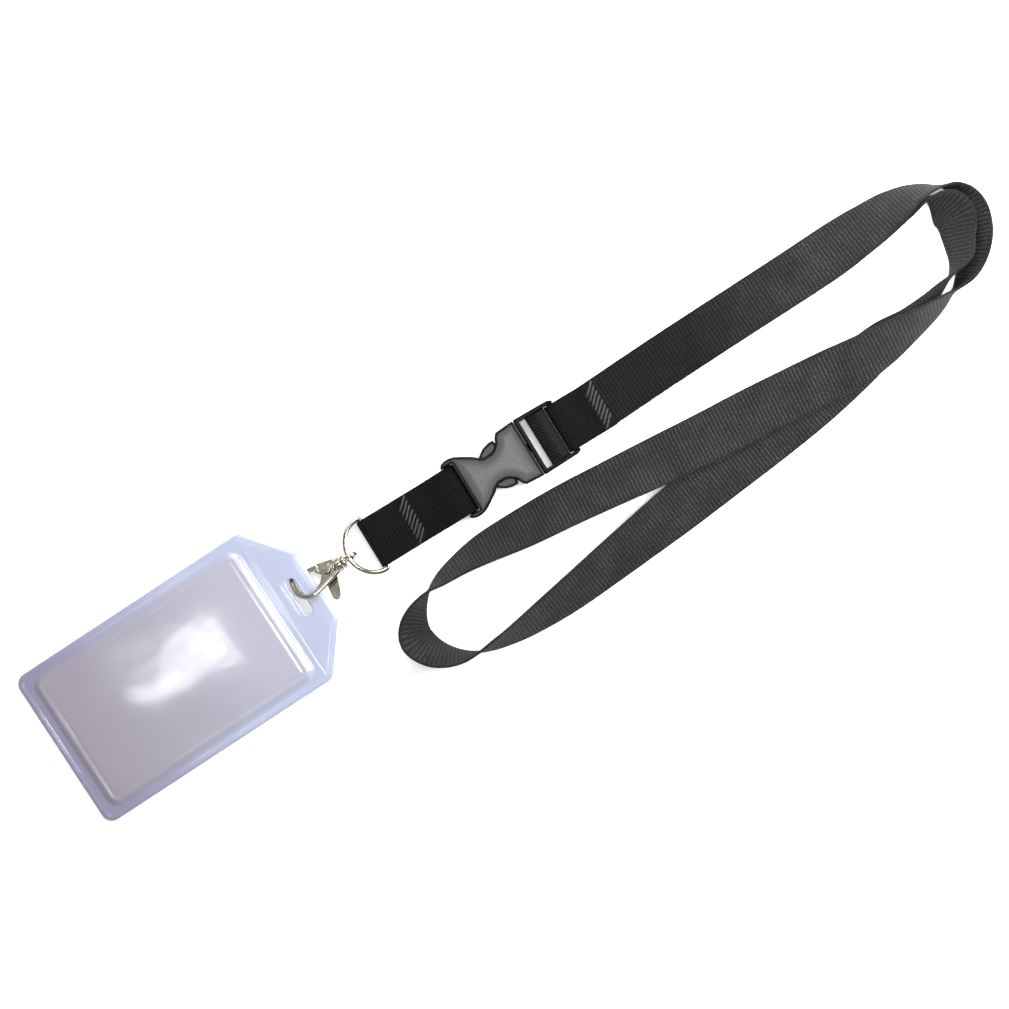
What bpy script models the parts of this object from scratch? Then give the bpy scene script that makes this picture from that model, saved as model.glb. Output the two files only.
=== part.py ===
"""Lanyard badge holder, lying on a table: a clear card holder hangs by its slot from a swivel trigger hook,
the hook from a D-ring, the D-ring from a short webbing loop, and that from a side-release buckle whose plug
carries the neck strap.

Sizes below are in millimetres and the helpers turn them into metres. +X runs from the card holder to the
buckle plug, +Z is up, and the origin is on the underside of the buckle socket, where it rests on the table.
"""

import math

import bmesh
import bpy
from mathutils import Matrix, Vector

MM = 0.001
GAP = 0.3  # clearance between pieces that lie against each other

# Webbing
STRAP_WIDTH = 20.0
STRAP_THICKNESS = 1.0
LAYER = STRAP_THICKNESS + GAP  # height of one layer of webbing on another
STRAP_SIDE_CLEARANCE = 0.35
THREAD_RADIUS = 0.25
BARTACK_LENGTH = 4.6
BARTACK_RISE = 4.4  # each stitch leans this far across the strap
BARTACK_STITCHES = 6
BARTACK_EDGE = 1.4  # webbing edge to the first stitch

# Buckle, both halves
BUCKLE_HEIGHT = 9.0
BUCKLE_WALL = 1.5
BAR_SIZE = 2.4  # the square bars that the webbing goes round
BAR_CORNER = 0.5
EDGE_ROUND = 0.9

# Buckle socket
SOCKET_BACK_X = -16.3
SOCKET_MOUTH_X = 16.7
SOCKET_EAR_WALL = 2.15  # outside the strap's slot
SOCKET_WAIST_HALF = 5.5
SOCKET_WAIST_X = 1.4
SOCKET_SHOULDER_X = 9.0  # where the mouth's full width starts
SOCKET_BAR_X = -13.8
CAVITY_END_X = -7.5

# Buckle plug
PLUG_END_X = 33.9
PLUG_RAIL = 1.75  # outside the strap's slot
PLUG_SLOT_WIDTH = 2.6
PLUG_COLLAR = 1.8
PLUG_GRIP_WIDTH = 4.3
PLUG_BAR_X = 32.2
PLUG_END_HEIGHT = 7.4
GRIP_DIP = 2.6  # the grip's top below the buckle's
WEB_BOTTOM = 0.8
GRIP_RIBS = 17
GRIP_RIB_RADIUS = 0.28
GUIDE_HALF = 1.6
GUIDE_TIP_X = 2.0
ARM_HEIGHT = 4.4
ARM_HINGE_X = 15.4
ARM_WALL = 3.4  # mouth's side to the arm's room

# D-ring
RING_WIRE_RADIUS = 1.0
RING_BAR_X = -52.4
RING_SIDE_CLEARANCE = 0.1
RING_DEPTH = 11.6
RING_CORNER = 1.5

# Swivel hook: local x from the collar to the bowl, y to the hook's back, z out of its plane
HOOK_COLLAR_X = -67.3
HOOK_HEIGHT = 5.2
HOOK_TILT = math.radians(27)
HOOK_WIRE_RADIUS = 1.1
HOOK_PLATE = 1.8
COLLAR_RADIUS = 3.0
COLLAR_LENGTH = 2.5
STEM_RADIUS = 0.8
STEM_HEAD_RADIUS = 1.6
STEM_HEAD = 1.0
EYE_WIRE_RADIUS = 0.95
EYE_PLAY = 0.35  # the eye on the D-ring's wire
EYE_LEAN = math.radians(16)
DRUM_RADIUS = 2.8
RIVET_X = 6.0
RIVET_RADIUS = 0.8
RIVET_HEAD_RADIUS = 1.7
RIVET_HEAD = 0.6
LEVER_THICKNESS = 1.0
SPRING_SPACE = 1.2  # between the plate and the lever
SPRING_WIRE_RADIUS = 0.14
SPRING_TURNS = 2.5

# Card holder: local x along its length towards the tab, y across, z out of its front
END_RIM = 5.6
SIDE_RIM = 4.6
HOLDER_CORNER = 4.5
SHEET = 0.45
TAB_HALF = 15.4
TAB_CHAMFER = 14.9
SLOT_TO_TOP = 8.1  # from the slot's middle
SLOT_LENGTH = 15.8
SLOT_WIDTH = 3.7
WINDOW_LENGTH = 93.0
WINDOW_WIDTH = 57.2
WINDOW_CORNER = 4.0
WINDOW_TO_SLOT = 11.3  # from the window's end to the slot's middle
POCKET_DEPTH = 1.5
CARD_MOUTH_WIDTH = 2.2
HOLDER_YAW = math.radians(1.75)
SLOT_BEHIND_HOOK = 0.0  # slot's middle from the hook's wire
HOLDER_AT_Y = -2.7  # the slot's middle, as the hook rests in it
HOLDER_RISE = 4.6  # underside of the tab above the table
BOWL_X = 20.3  # from the collar to the hook wire in the holder's slot

# Neck strap route: middle of the webbing in plan, height of its lowest edge, and its bank in degrees,
# positive where its right-hand edge is raised. It runs from the stitched end over the top of the doubled
# strap, round the far bend, back to the near bend, and home underneath.
NECK_ROUTE = [
    (44.6, 0.0, 1.3, 0),
    (57.7, 0.6, 1.3, 0),
    (76.9, 1.4, 1.3, 0),
    (96.2, 2.0, 1.3, 0),
    (115.4, 2.5, 1.3, 0),
    (134.6, 3.0, 1.3, 0),
    (153.8, 3.8, 1.4, 8),
    (163.5, 4.6, 1.4, 22),
    (173.1, 5.2, 1.3, 34),
    (182.7, 6.0, 1.1, 47),
    (192.3, 6.1, 0.8, 65),
    (200.0, 4.2, 0.4, 79),
    (205.8, 1.0, 0.0, 91),
    (207.7, -3.8, 0.0, 107),
    (207.5, -10.2, 0.0, 123),
    (205.0, -17.9, 0.0, 125),
    (200.4, -25.6, 0.0, 113),
    (193.3, -31.0, 0.0, 104),
    (187.5, -33.7, 0.0, 90),
    (180.8, -35.2, 0.0, 76),
    (173.1, -36.2, 0.3, 66),
    (163.5, -36.8, 1.1, 53),
    (153.8, -37.3, 1.6, 39),
    (144.2, -37.5, 2.1, 28),
    (130.8, -36.5, 2.5, 15),
    (115.4, -35.3, 2.1, 5),
    (96.2, -33.6, 1.6, -2),
    (76.9, -32.2, 0.7, -9),
    (57.7, -30.3, 0.1, -17),
    (38.5, -28.3, 0.0, -27),
    (19.2, -26.4, 0.0, -34),
    (0.0, -25.1, 0.0, -42),
    (-19.2, -23.8, 0.0, -57),
    (-28.8, -24.1, 0.0, -67),
    (-38.5, -25.3, 0.0, -78),
    (-44.6, -26.7, 0.0, -91),
    (-51.7, -30.8, 0.0, -109),
    (-56.0, -35.4, 0.0, -122),
    (-57.7, -40.2, 0.0, -128),
    (-55.4, -46.7, 0.0, -122),
    (-50.8, -51.7, 0.0, -111),
    (-45.8, -54.8, 0.0, -100),
    (-40.4, -56.5, 0.0, -89),
    (-34.2, -57.3, 0.0, -79),
    (-26.9, -57.7, 0.0, -71),
    (-19.2, -57.6, 0.0, -63),
    (0.0, -56.2, 0.0, -48),
    (19.2, -53.9, 0.0, -37),
    (38.5, -51.5, 0.0, -25),
    (57.7, -49.2, 0.0, -10),
    (76.9, -47.1, 0.0, -3),
    (96.2, -45.1, 0.0, -1),
    (115.4, -42.7, 0.0, -4),
    (130.8, -40.2, 0.0, -13),
    (144.2, -37.9, 0.0, -27),
    (153.8, -36.0, 0.0, -40),
    (163.5, -35.2, 0.0, -54),
    (173.1, -33.1, 0.0, -66),
    (181.7, -30.4, 0.0, -77),
    (189.4, -27.9, 0.0, -89),
    (195.2, -23.7, 0.0, -108),
    (198.8, -16.7, 0.0, -119),
    (201.5, -10.6, 0.0, -132),
    (201.2, -6.3, 0.0, -131),
    (200.0, -2.9, 0.0, -119),
    (198.1, 0.2, 0.0, -98),
    (195.2, 2.7, 0.0, -78),
    (191.3, 4.2, 0.0, -64),
    (182.7, 4.8, 0.0, -47),
    (173.1, 4.4, 0.0, -34),
    (163.5, 4.0, 0.0, -22),
    (153.8, 3.5, 0.0, -8),
    (134.6, 2.9, 0.0, 0),
    (115.4, 2.5, 0.0, 0),
    (96.2, 2.0, 0.0, 0),
    (76.9, 1.4, 0.0, 0),
    (57.7, 0.6, 0.0, 0),
    (44.0, 0.0, 0.0, 0),
]
ROUTE_STEP = 4.5
NECK_STITCH_X = 48.4
END_STITCH_X = -35.6

# Values that follow from the ones above
WRAP_RADIUS = BAR_SIZE / 2 + GAP + STRAP_THICKNESS / 2
BAR_HEIGHT = BUCKLE_HEIGHT / 2
SLOT_HALF = STRAP_WIDTH / 2 + STRAP_SIDE_CLEARANCE
SOCKET_EAR_HALF = SLOT_HALF + SOCKET_EAR_WALL
PLUG_HALF = SLOT_HALF + PLUG_RAIL
CAVITY_HALF = PLUG_HALF - ARM_WALL
ARM_HINGE_Y = CAVITY_HALF - 2.4
RING_HALF_INSIDE = STRAP_WIDTH / 2 + RING_SIDE_CLEARANCE
RING_WRAP_RADIUS = RING_WIRE_RADIUS + GAP + STRAP_THICKNESS / 2
RING_BAR_HEIGHT = RING_WRAP_RADIUS + STRAP_THICKNESS / 2
EYE_RADIUS = RING_WIRE_RADIUS + EYE_WIRE_RADIUS + EYE_PLAY
PLUG_FRONT_X = SOCKET_MOUTH_X + GAP
PLUG_SLOT_X = PLUG_FRONT_X + PLUG_COLLAR
PLUG_GRIP_X = PLUG_SLOT_X + PLUG_SLOT_WIDTH
PLUG_GRIP_END_X = PLUG_GRIP_X + PLUG_GRIP_WIDTH
LEVER_TOP = -(HOOK_PLATE / 2 + SPRING_SPACE)
LEVER_BOTTOM = LEVER_TOP - LEVER_THICKNESS
HOLDER_WIDTH = WINDOW_WIDTH + 2 * SIDE_RIM
HOLDER_TAIL = -(WINDOW_TO_SLOT + WINDOW_LENGTH + END_RIM)
HOLDER_PITCH = math.asin(HOLDER_RISE / -HOLDER_TAIL)
WINDOW_MIDDLE = -WINDOW_TO_SLOT - WINDOW_LENGTH / 2
RIM_TOP = 2 * SHEET + GAP
WINDOW_TOP = SHEET + POCKET_DEPTH + SHEET


def clear_scene():
    for obj in list(bpy.data.objects):
        bpy.data.objects.remove(obj, do_unlink=True)


def new_collection(name):
    collection = bpy.data.collections.new(name)
    bpy.context.scene.collection.children.link(collection)
    return collection


clear_scene()
PARTS = new_collection("lanyard_badge_holder")


def srgb(code):
    """Linear RGBA of a six-digit hex colour."""
    channels = [int(code[i : i + 2], 16) / 255 for i in (0, 2, 4)]
    return [c / 12.92 if c <= 0.04045 else ((c + 0.055) / 1.055) ** 2.4 for c in channels] + [1.0]


def make_material(name, code, roughness, metallic=0.0, alpha=1.0):
    material = bpy.data.materials.new(name)
    material.use_nodes = True
    shader = material.node_tree.nodes["Principled BSDF"]
    shader.inputs["Base Color"].default_value = srgb(code)
    shader.inputs["Roughness"].default_value = roughness
    shader.inputs["Metallic"].default_value = metallic
    shader.inputs["Alpha"].default_value = alpha
    return material


WEBBING = ("3c3c3e", 0.85)
THREAD = ("59595b", 0.7)
ACETAL = ("2c2d2b", 0.42)
NICKEL = ("c9c4b4", 0.22, 1.0)
SPRING_STEEL = ("9c9a94", 0.3, 1.0)
CLEAR_VINYL = ("c6c8e2", 0.15, 0.0, 0.45)


def metres(point):
    return Vector(point) * MM


def finish(obj, name, look, parent=None, local=False):
    """Names a solid, gives it its own material and hangs it under its joint's empty."""
    obj.name = name
    obj.data.name = name
    obj.data.materials.clear()
    obj.data.materials.append(make_material(name, *look))
    obj.data.shade_smooth()
    obj.data.set_sharp_from_angle(angle=math.radians(35))
    if parent is not None:
        obj.parent = parent
        if not local:
            obj.matrix_parent_inverse = parent.matrix_world.inverted()
    return obj


def pivot(name, place, rotation=(0, 0, 0), parent=None):
    """An empty on a joint's axis; its place and rotation are given in the world."""
    empty = bpy.data.objects.new(name, None)
    empty.empty_display_size = 0.004
    PARTS.objects.link(empty)
    empty.location = metres(place)
    empty.rotation_euler = rotation
    bpy.context.view_layer.update()
    if parent is not None:
        world = empty.matrix_world.copy()
        empty.parent = parent
        empty.matrix_parent_inverse = parent.matrix_world.inverted()
        empty.matrix_world = world
        bpy.context.view_layer.update()
    return empty


def object_from(bm, name="piece"):
    bmesh.ops.remove_doubles(bm, verts=bm.verts, dist=1e-7)
    bmesh.ops.recalc_face_normals(bm, faces=bm.faces)
    mesh = bpy.data.meshes.new(name)
    bm.to_mesh(mesh)
    bm.free()
    obj = bpy.data.objects.new(name, mesh)
    PARTS.objects.link(obj)
    return obj


def meshed(curve_object, matrix=None):
    """The curve object as a welded mesh object."""
    bpy.context.view_layer.update()
    graph = bpy.context.evaluated_depsgraph_get()
    mesh = bpy.data.meshes.new_from_object(curve_object.evaluated_get(graph))
    bm = bmesh.new()
    bm.from_mesh(mesh)
    bm.transform(curve_object.matrix_world)
    if matrix is not None:
        bm.transform(matrix)
    bpy.data.meshes.remove(mesh)
    bpy.data.objects.remove(curve_object, do_unlink=True)
    return object_from(bm)


def box(low, high):
    bm = bmesh.new()
    size = [high[i] - low[i] for i in range(3)]
    middle = [(high[i] + low[i]) / 2 for i in range(3)]
    place = Matrix.Translation(metres(middle)) @ Matrix.Diagonal([*metres(size), 1])
    bmesh.ops.create_cube(bm, size=1, matrix=place)
    return object_from(bm)


def cylinder(start, end, radius, sides=24, end_radius=None):
    start = metres(start)
    end = metres(end)
    along = end - start
    turn = along.to_track_quat("Z", "Y").to_matrix().to_4x4()
    bm = bmesh.new()
    bmesh.ops.create_cone(
        bm,
        cap_ends=True,
        segments=sides,
        radius1=radius * MM,
        radius2=(radius if end_radius is None else end_radius) * MM,
        depth=along.length,
        matrix=Matrix.Translation((start + end) / 2) @ turn,
    )
    return object_from(bm)


def flat_outline(points, low, high):
    """A plate between two heights with the outline given by points in plan."""
    curve = bpy.data.curves.new("outline", "CURVE")
    curve.dimensions = "2D"
    curve.fill_mode = "BOTH"
    curve.extrude = (high - low) / 2 * MM
    spline = curve.splines.new("POLY")
    spline.points.add(len(points) - 1)
    for point, (x, y) in zip(spline.points, points):
        point.co = (x * MM, y * MM, 0, 1)
    spline.use_cyclic_u = True
    obj = bpy.data.objects.new("outline", curve)
    PARTS.objects.link(obj)
    obj.location = (0, 0, (high + low) / 2 * MM)
    return meshed(obj)


def side_outline(points, low, high):
    """A plate between two places across the strap, with the outline given by points seen from the side."""
    plate = flat_outline(points, -high, -low)
    plate.data.transform(Matrix.Rotation(math.pi / 2, 4, "X"))
    return plate


def tube(points, radius, sides_resolution=2, cyclic=False):
    """A wire of round section through the points, with filled caps."""
    curve = bpy.data.curves.new("wire", "CURVE")
    curve.dimensions = "3D"
    curve.bevel_depth = radius * MM
    curve.bevel_resolution = sides_resolution
    curve.use_fill_caps = not cyclic
    spline = curve.splines.new("POLY")
    spline.points.add(len(points) - 1)
    for point, place in zip(spline.points, points):
        point.co = (*metres(place), 1)
    spline.use_cyclic_u = cyclic
    obj = bpy.data.objects.new("wire", curve)
    PARTS.objects.link(obj)
    return meshed(obj)


def boolean(obj, other, operation):
    """Joins or cuts obj with other, which is used up."""
    modifier = obj.modifiers.new(operation.lower(), "BOOLEAN")
    modifier.operation = operation
    modifier.object = other
    bpy.context.view_layer.update()
    graph = bpy.context.evaluated_depsgraph_get()
    mesh = bpy.data.meshes.new_from_object(obj.evaluated_get(graph))
    obj.modifiers.clear()
    obj.data = mesh
    bpy.data.objects.remove(other, do_unlink=True)
    return obj


def join(obj, *others):
    for other in others:
        boolean(obj, other, "UNION")
    return obj


def cut(obj, *others):
    for other in others:
        boolean(obj, other, "DIFFERENCE")
    return obj


def rounded(obj, width, segments=2, angle=40):
    """Rounds the edges sharper than the angle."""
    modifier = obj.modifiers.new("round", "BEVEL")
    modifier.width = width * MM
    modifier.segments = segments
    modifier.limit_method = "ANGLE"
    modifier.angle_limit = math.radians(angle)
    bpy.context.view_layer.update()
    graph = bpy.context.evaluated_depsgraph_get()
    mesh = bpy.data.meshes.new_from_object(obj.evaluated_get(graph))
    obj.modifiers.clear()
    obj.data = mesh
    return obj


def arc(middle, radius, start, end, steps):
    """Points on a circle, from one angle to another in degrees, ends included."""
    angles = [math.radians(start + (end - start) * i / steps) for i in range(steps + 1)]
    return [(middle[0] + radius * math.cos(a), middle[1] + radius * math.sin(a)) for a in angles]


def rounded_rectangle(middle, length, width, corner, steps=5):
    points = []
    for start, sx, sy in ((0, 1, 1), (90, -1, 1), (180, -1, -1), (270, 1, -1)):
        centre = (middle[0] + sx * (length / 2 - corner), middle[1] + sy * (width / 2 - corner))
        points += arc(centre, corner, start, start + 90, steps)
    return points


def smooth(points, step):
    """Catmull-Rom curve through points of any dimension, with knots spaced by the square root of distance."""
    points = [Vector(p) for p in points]
    padded = [points[0] * 2 - points[1], *points, points[-1] * 2 - points[-2]]
    out = []
    for p0, p1, p2, p3 in zip(padded, padded[1:], padded[2:], padded[3:]):
        t = [0.0]
        for a, b in ((p0, p1), (p1, p2), (p2, p3)):
            t.append(t[-1] + math.sqrt(max((b - a).to_2d().length, 1e-6)))
        pieces = max(2, round((p2 - p1).to_2d().length / step))
        for i in range(pieces):
            u = t[1] + (t[2] - t[1]) * i / pieces
            a1 = p0.lerp(p1, (u - t[0]) / (t[1] - t[0]))
            a2 = p1.lerp(p2, (u - t[1]) / (t[2] - t[1]))
            a3 = p2.lerp(p3, (u - t[2]) / (t[3] - t[2]))
            b1 = a1.lerp(a2, (u - t[0]) / (t[2] - t[0]))
            b2 = a2.lerp(a3, (u - t[1]) / (t[3] - t[1]))
            out.append(b1.lerp(b2, (u - t[1]) / (t[2] - t[1])))
    out.append(points[-1])
    return out


def banked_stations(route, step):
    """(middle, direction across) along a route of plan position, lowest height and bank."""
    line = smooth(route, step)
    stations = []
    for i, place in enumerate(line):
        before = line[max(i - 1, 0)]
        after = line[min(i + 1, len(line) - 1)]
        ahead = (after - before).to_2d().normalized()
        bank = math.radians(place[3])
        height = place[2] + STRAP_WIDTH / 2 * abs(math.sin(bank)) + STRAP_THICKNESS / 2 * abs(math.cos(bank))
        across = Vector((ahead.y * math.cos(bank), -ahead.x * math.cos(bank), math.sin(bank)))
        stations.append((Vector((place[0], place[1], height)), across))
    return stations


def side_stations(profile, y, across):
    """Stations of a webbing run whose middle line is given from the side, as (x, z)."""
    return [(Vector((x, y, z)), Vector((0, across, 0))) for x, z in profile]


def webbing(stations):
    """One length of flat webbing as a solid."""
    bm = bmesh.new()
    rows = []
    for middle, across in stations:
        shares = (-0.5, 0, 0.5)
        rows.append([bm.verts.new(metres(middle + across * STRAP_WIDTH * share)) for share in shares])
    for row, after in zip(rows, rows[1:]):
        for i in range(2):
            bm.faces.new((row[i], after[i], after[i + 1], row[i + 1]))
    mesh = bpy.data.meshes.new("webbing")
    bm.to_mesh(mesh)
    bm.free()
    obj = bpy.data.objects.new("webbing", mesh)
    PARTS.objects.link(obj)
    modifier = obj.modifiers.new("thickness", "SOLIDIFY")
    modifier.thickness = STRAP_THICKNESS * MM
    modifier.offset = 0
    modifier.use_even_offset = True
    return obj


def bartack(middle_x, y, height):
    """One zigzag thread across the webbing, lying on its top."""
    half = STRAP_WIDTH / 2 - BARTACK_EDGE
    pitch = (2 * half - BARTACK_RISE) / (BARTACK_STITCHES - 1)
    points = []
    for i in range(BARTACK_STITCHES):
        side = y + half - pitch * i
        points.append((middle_x + BARTACK_LENGTH / 2, side, height))
        points.append((middle_x - BARTACK_LENGTH / 2, side - BARTACK_RISE, height))
    return tube(points, THREAD_RADIUS, 1)


def make_neck_strap():
    home_y = NECK_ROUTE[-1][1]
    low = STRAP_THICKNESS / 2
    under = [(PLUG_BAR_X + 6.3, low + 0.25), (PLUG_BAR_X + 3.0, BAR_HEIGHT - 2.6)]
    around = arc((PLUG_BAR_X, BAR_HEIGHT), WRAP_RADIUS, 270, 90, 12)
    lap = low + 2 * LAYER
    over = [(PLUG_BAR_X + 3.2, BAR_HEIGHT + 1.8), (PLUG_BAR_X + 5.8, BAR_HEIGHT + 0.8)]
    over += [(40.4, lap + 1.1), (42.8, lap + 0.3), (45.5, lap), (50.8, lap)]
    stations = banked_stations(NECK_ROUTE, ROUTE_STEP)
    stations += side_stations(under + around + over, home_y, 1)
    finish(webbing(stations), "neck_strap", WEBBING)
    top = lap + STRAP_THICKNESS / 2 + GAP + THREAD_RADIUS
    finish(bartack(NECK_STITCH_X, home_y, top), "neck_strap_stitching", THREAD)


def make_end_strap(parent):
    low = STRAP_THICKNESS / 2
    ring_bar = (RING_BAR_X, RING_BAR_HEIGHT)
    lap = low + 2 * LAYER
    outer = [(-32.8, lap), (-39.0, lap), (-43.5, lap + 0.35), (-48.0, lap + 0.8)]
    round_ring = arc(ring_bar, RING_WRAP_RADIUS, 90, 270, 12)
    under = [(-44.0, low), (-32.0, low), (-24.0, low), (-20.0, low + 0.3), (-17.0, BAR_HEIGHT - 2.8)]
    round_bar = arc((SOCKET_BAR_X, BAR_HEIGHT), WRAP_RADIUS, -90, 90, 12)
    lap = low + LAYER
    inner = [(-17.2, BAR_HEIGHT + 1.7), (-20.5, BAR_HEIGHT + 0.3), (-24.0, lap + 1.3)]
    inner += [(-27.5, lap + 0.1), (-31.0, lap), (-39.6, lap)]
    stations = side_stations(outer + round_ring + under + round_bar + inner, 0, 1)
    finish(webbing(stations), "end_strap", WEBBING, parent)
    top = low + 2 * LAYER + STRAP_THICKNESS / 2 + GAP + THREAD_RADIUS
    finish(bartack(END_STITCH_X, 0, top), "end_strap_stitching", THREAD, parent)


def mirrored(half):
    """Closes an upper half outline, given from left to right, with its mirror image."""
    return half + [(x, -y) for x, y in reversed(half)]


def webbing_bar(x, half):
    return rounded(
        box(
            (x - BAR_SIZE / 2, -half, BAR_HEIGHT - BAR_SIZE / 2),
            (x + BAR_SIZE / 2, half, BAR_HEIGHT + BAR_SIZE / 2),
        ),
        BAR_CORNER,
        1,
    )


def make_socket(parent):
    ear = SOCKET_EAR_HALF
    waist = SOCKET_WAIST_HALF
    mouth = PLUG_HALF - 0.1
    half = [
        (SOCKET_BACK_X, ear - 2.2),
        (SOCKET_BACK_X + 0.8, ear - 0.8),
        (SOCKET_BACK_X + 2.4, ear - 0.1),
        (SOCKET_BACK_X + 4.6, ear),
        (SOCKET_BACK_X + 6.8, ear - 0.5),
        (SOCKET_BACK_X + 9.0, ear - 1.7),
        (SOCKET_WAIST_X - 4.6, waist + 2.7),
        (SOCKET_WAIST_X - 2.6, waist + 0.9),
        (SOCKET_WAIST_X - 0.8, waist + 0.1),
        (SOCKET_WAIST_X + 1.6, waist + 0.1),
        (SOCKET_WAIST_X + 3.6, waist + 0.9),
        (SOCKET_SHOULDER_X - 2.2, waist + 2.6),
        (SOCKET_SHOULDER_X - 1.2, waist + 4.6),
        (SOCKET_SHOULDER_X, mouth - 0.5),
        (SOCKET_MOUTH_X, mouth),
    ]
    body = rounded(flat_outline(mirrored(half), 0, BUCKLE_HEIGHT), EDGE_ROUND, 2, 60)
    strap_room = box(
        (SOCKET_BACK_X - 1, -SLOT_HALF, -1),
        (SOCKET_BAR_X + WRAP_RADIUS + STRAP_THICKNESS / 2 + GAP, SLOT_HALF, BUCKLE_HEIGHT + 1),
    )
    cavity = box(
        (CAVITY_END_X, -CAVITY_HALF, BUCKLE_WALL),
        (SOCKET_MOUTH_X + 1, CAVITY_HALF, BUCKLE_HEIGHT - BUCKLE_WALL),
    )
    body = cut(body, strap_room, cavity)
    body = join(body, webbing_bar(SOCKET_BAR_X, SOCKET_EAR_HALF - EDGE_ROUND))
    finish(body, "buckle_socket", ACETAL, parent)


def make_plug():
    half = [
        (PLUG_FRONT_X, PLUG_HALF),
        (PLUG_END_X - 2.0, PLUG_HALF - 0.3),
        (PLUG_END_X - 0.6, PLUG_HALF - 0.9),
        (PLUG_END_X, PLUG_HALF - 1.7),
    ]
    low = (BUCKLE_HEIGHT - PLUG_END_HEIGHT) / 2
    frame = rounded(flat_outline(mirrored(half), 0, BUCKLE_HEIGHT), EDGE_ROUND, 2, 60)
    # the rails are lower at the strap end
    for edge, beyond in ((low, -1), (BUCKLE_HEIGHT - low, BUCKLE_HEIGHT + 1)):
        full = 0 if beyond < 0 else BUCKLE_HEIGHT
        wedge = [(PLUG_GRIP_X - 3, beyond), (PLUG_END_X + 1, beyond), (PLUG_END_X + 1, edge), (PLUG_GRIP_X, full)]
        cut(frame, side_outline(wedge, -20, 20))
    slot = box((PLUG_SLOT_X, -SLOT_HALF, -1), (PLUG_GRIP_X, SLOT_HALF, BUCKLE_HEIGHT + 1))
    strap_room = box((PLUG_GRIP_END_X, -SLOT_HALF, -1), (PLUG_END_X + 1, SLOT_HALF, BUCKLE_HEIGHT + 1))
    frame = cut(frame, slot, strap_room)
    grip_top = BUCKLE_HEIGHT - GRIP_DIP
    grip_room = box(
        (PLUG_GRIP_X - 0.1, -SLOT_HALF, grip_top),
        (PLUG_GRIP_END_X + 0.1, SLOT_HALF, BUCKLE_HEIGHT + 1),
    )
    frame = cut(frame, grip_room)
    guide = box(
        (GUIDE_TIP_X, -GUIDE_HALF, BUCKLE_WALL + GAP + 0.8),
        (PLUG_FRONT_X + 1, GUIDE_HALF, BUCKLE_HEIGHT - BUCKLE_WALL - GAP - 0.8),
    )
    web = box(
        (PLUG_GRIP_END_X - 0.1, -SLOT_HALF - 0.1, WEB_BOTTOM),
        (PLUG_BAR_X - WRAP_RADIUS - STRAP_THICKNESS / 2 - GAP, SLOT_HALF + 0.1, BAR_HEIGHT),
    )
    frame = join(frame, webbing_bar(PLUG_BAR_X, PLUG_HALF - EDGE_ROUND), guide, web)
    step = 2 * (SLOT_HALF - 0.7) / (GRIP_RIBS - 1)
    for i in range(GRIP_RIBS):
        y = -SLOT_HALF + 0.7 + step * i
        z = grip_top - 0.06
        rib = cylinder((PLUG_GRIP_X + 0.4, y, z), (PLUG_GRIP_END_X - 0.4, y, z), GRIP_RIB_RADIUS, 8)
        frame = join(frame, rib)
    finish(frame, "buckle_plug", ACETAL)


def make_arm(name, side):
    """A sprung latch arm of the plug, on the +Y side for side 1."""
    outline = [
        (PLUG_FRONT_X - 2 * GAP, CAVITY_HALF - 1.3),
        (SOCKET_SHOULDER_X - 0.2, CAVITY_HALF - 0.6),
        (SOCKET_SHOULDER_X - 2.2, CAVITY_HALF - 0.6),
        (SOCKET_SHOULDER_X - 2.4, CAVITY_HALF + 0.7),
        (SOCKET_SHOULDER_X - 3.0, CAVITY_HALF + 0.95),
        (SOCKET_SHOULDER_X - 4.8, CAVITY_HALF + 0.85),
        (SOCKET_SHOULDER_X - 7.4, CAVITY_HALF + 0.1),
        (-0.8, CAVITY_HALF - 1.5),
        (-2.4, CAVITY_HALF - 2.8),
        (-3.6, CAVITY_HALF - 3.8),
        (-3.4, CAVITY_HALF - 4.4),
        (-1.8, CAVITY_HALF - 4.4),
        (2.0, CAVITY_HALF - 3.9),
        (6.0, CAVITY_HALF - 3.8),
        (10.0, CAVITY_HALF - 3.9),
        (PLUG_FRONT_X - 2 * GAP, CAVITY_HALF - 4.0),
    ]
    points = [(x, side * y) for x, y in outline]
    if side < 0:
        points.reverse()
    hinge = pivot(name + "_hinge", (ARM_HINGE_X, side * ARM_HINGE_Y, BAR_HEIGHT))
    arm = flat_outline(points, BAR_HEIGHT - ARM_HEIGHT / 2, BAR_HEIGHT + ARM_HEIGHT / 2)
    finish(rounded(arm, 0.35, 1, 60), name, ACETAL, hinge)


def make_ring(parent, rise):
    """The D-ring, with its arc lifted to the hook's height."""
    half = RING_HALF_INSIDE + RING_WIRE_RADIUS
    depth = RING_DEPTH - RING_CORNER
    corner_y = half - RING_CORNER
    outline = arc((-RING_CORNER, corner_y), RING_CORNER, 0, 90, 4)
    for i in range(1, 24):
        angle = math.pi * i / 24
        outline.append((-RING_CORNER - depth * math.sin(angle), half * math.cos(angle)))
    outline += arc((-RING_CORNER, -corner_y), RING_CORNER, 270, 360, 4)
    lift = math.asin(rise / RING_DEPTH)
    points = []
    for x, y in outline:
        points.append((RING_BAR_X + x * math.cos(lift), y, RING_BAR_HEIGHT - x * math.sin(lift)))
    finish(tube(points, RING_WIRE_RADIUS, 3, cyclic=True), "d_ring", NICKEL, parent)


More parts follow.
